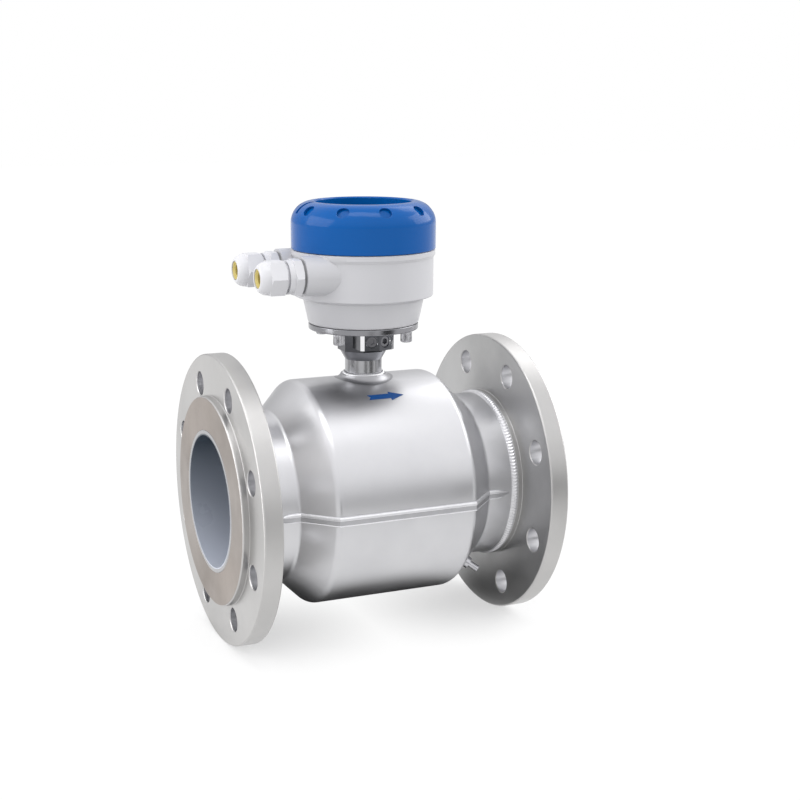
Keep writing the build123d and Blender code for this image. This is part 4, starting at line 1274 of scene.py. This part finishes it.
        # Painted shade: a dark sheet under the drum, seen only in gloss, standing in for the shadow on the
        # floor beneath it
        self.dark_card(
            "under_drum_shade_card",
            ((low_x + high_x) / 2, (low_y + high_y) / 2, level),
            ((high_x - low_x) / 2, 0.0, 0.0),
            (0.0, (high_y - low_y) / 2, 0.0),
        )
        for name, azimuth_deg, away, half_width, middle_z, half_height in self.upright_cards:
            turn = math.radians(azimuth_deg)
            self.dark_card(
                name,
                (NECK_X + away * math.sin(turn), away * math.cos(turn), middle_z),
                (half_width * math.cos(turn), -half_width * math.sin(turn), 0.0),
                (0.0, 0.0, half_height),
            )

    def dark_card(
        self, name: str, middle: Sequence[float], across: Sequence[float], up: Sequence[float]
    ) -> None:
        """Adds one card, whose darkness falls to nothing towards its edges.

        A point of it is middle + u across + v up, with u and v from -1 to 1 as its UV map.
        It is dark where sqrt(u^2 + v^2) is under 0.55 and clear where that is over 1.

        Args:
            name: What it is called.
            middle: Its middle.
            across: From the middle to one side.
            up: From the middle to the upper edge.
        """
        u, v = np.meshgrid([-1.0, 1.0], [-1.0, 1.0], indexing="ij")
        points = np.array(middle) + u[..., None] * np.array(across) + v[..., None] * np.array(up)
        mesh = bpy.data.meshes.new(name)
        mesh.from_pydata((points.reshape(-1, 3) * MM).tolist(), [], grid_faces(2, 2, False, False).tolist())
        corners = np.empty(len(mesh.loops), dtype=np.int32)
        mesh.loops.foreach_get("vertex_index", corners)
        places = np.stack([u, v], axis=-1).reshape(-1, 2)[corners]
        mesh.uv_layers.new(name="card").data.foreach_set("uv", places.ravel())
        mesh.materials.append(self.card_material())
        piece = bpy.data.objects.new(name, mesh)
        piece.visible_camera = False
        piece.visible_diffuse = False
        piece.visible_shadow = False
        bpy.context.scene.collection.objects.link(piece)

    def card_material(self) -> bpy.types.Material:
        """The cards' dark surface, which fades out with the distance from the UV map's middle; on the card
        under the drum it is painted shade.
        """
        known = bpy.data.materials.get("dark card seen only in gloss")
        if known is not None:
            return known
        made = bpy.data.materials.new("dark card seen only in gloss")
        made.use_nodes = True
        tree = made.node_tree
        tree.nodes.clear()
        coords = add_node(tree, "ShaderNodeTexCoord")
        away = add_node(tree, "ShaderNodeVectorMath", links={0: coords.outputs["UV"]}, operation="LENGTH")
        share = add_node(
            tree, "ShaderNodeMapRange", {"From Min": 0.55, "From Max": 1.0},
            {"Value": away.outputs["Value"]}, interpolation_type="SMOOTHSTEP",
        )
        dark = add_node(tree, "ShaderNodeBsdfDiffuse", {"Color": linear("1C1C1E")})
        clear = add_node(tree, "ShaderNodeBsdfTransparent")
        both = add_node(
            tree, "ShaderNodeMixShader",
            links={0: share.outputs[0], 1: dark.outputs[0], 2: clear.outputs[0]},
        )
        add_node(tree, "ShaderNodeOutputMaterial", links={"Surface": both.outputs[0]})
        return made


def main() -> None:
    """Builds every sub-assembly in order."""
    Studio().build()
    for assembly in (
        PipeEnds(), Housing(), MagnetSystem(), Neck(), Converter(), CableGlands(), ScrewCover(),
    ):
        assembly.build()


if __name__ == "__main__":
    main()
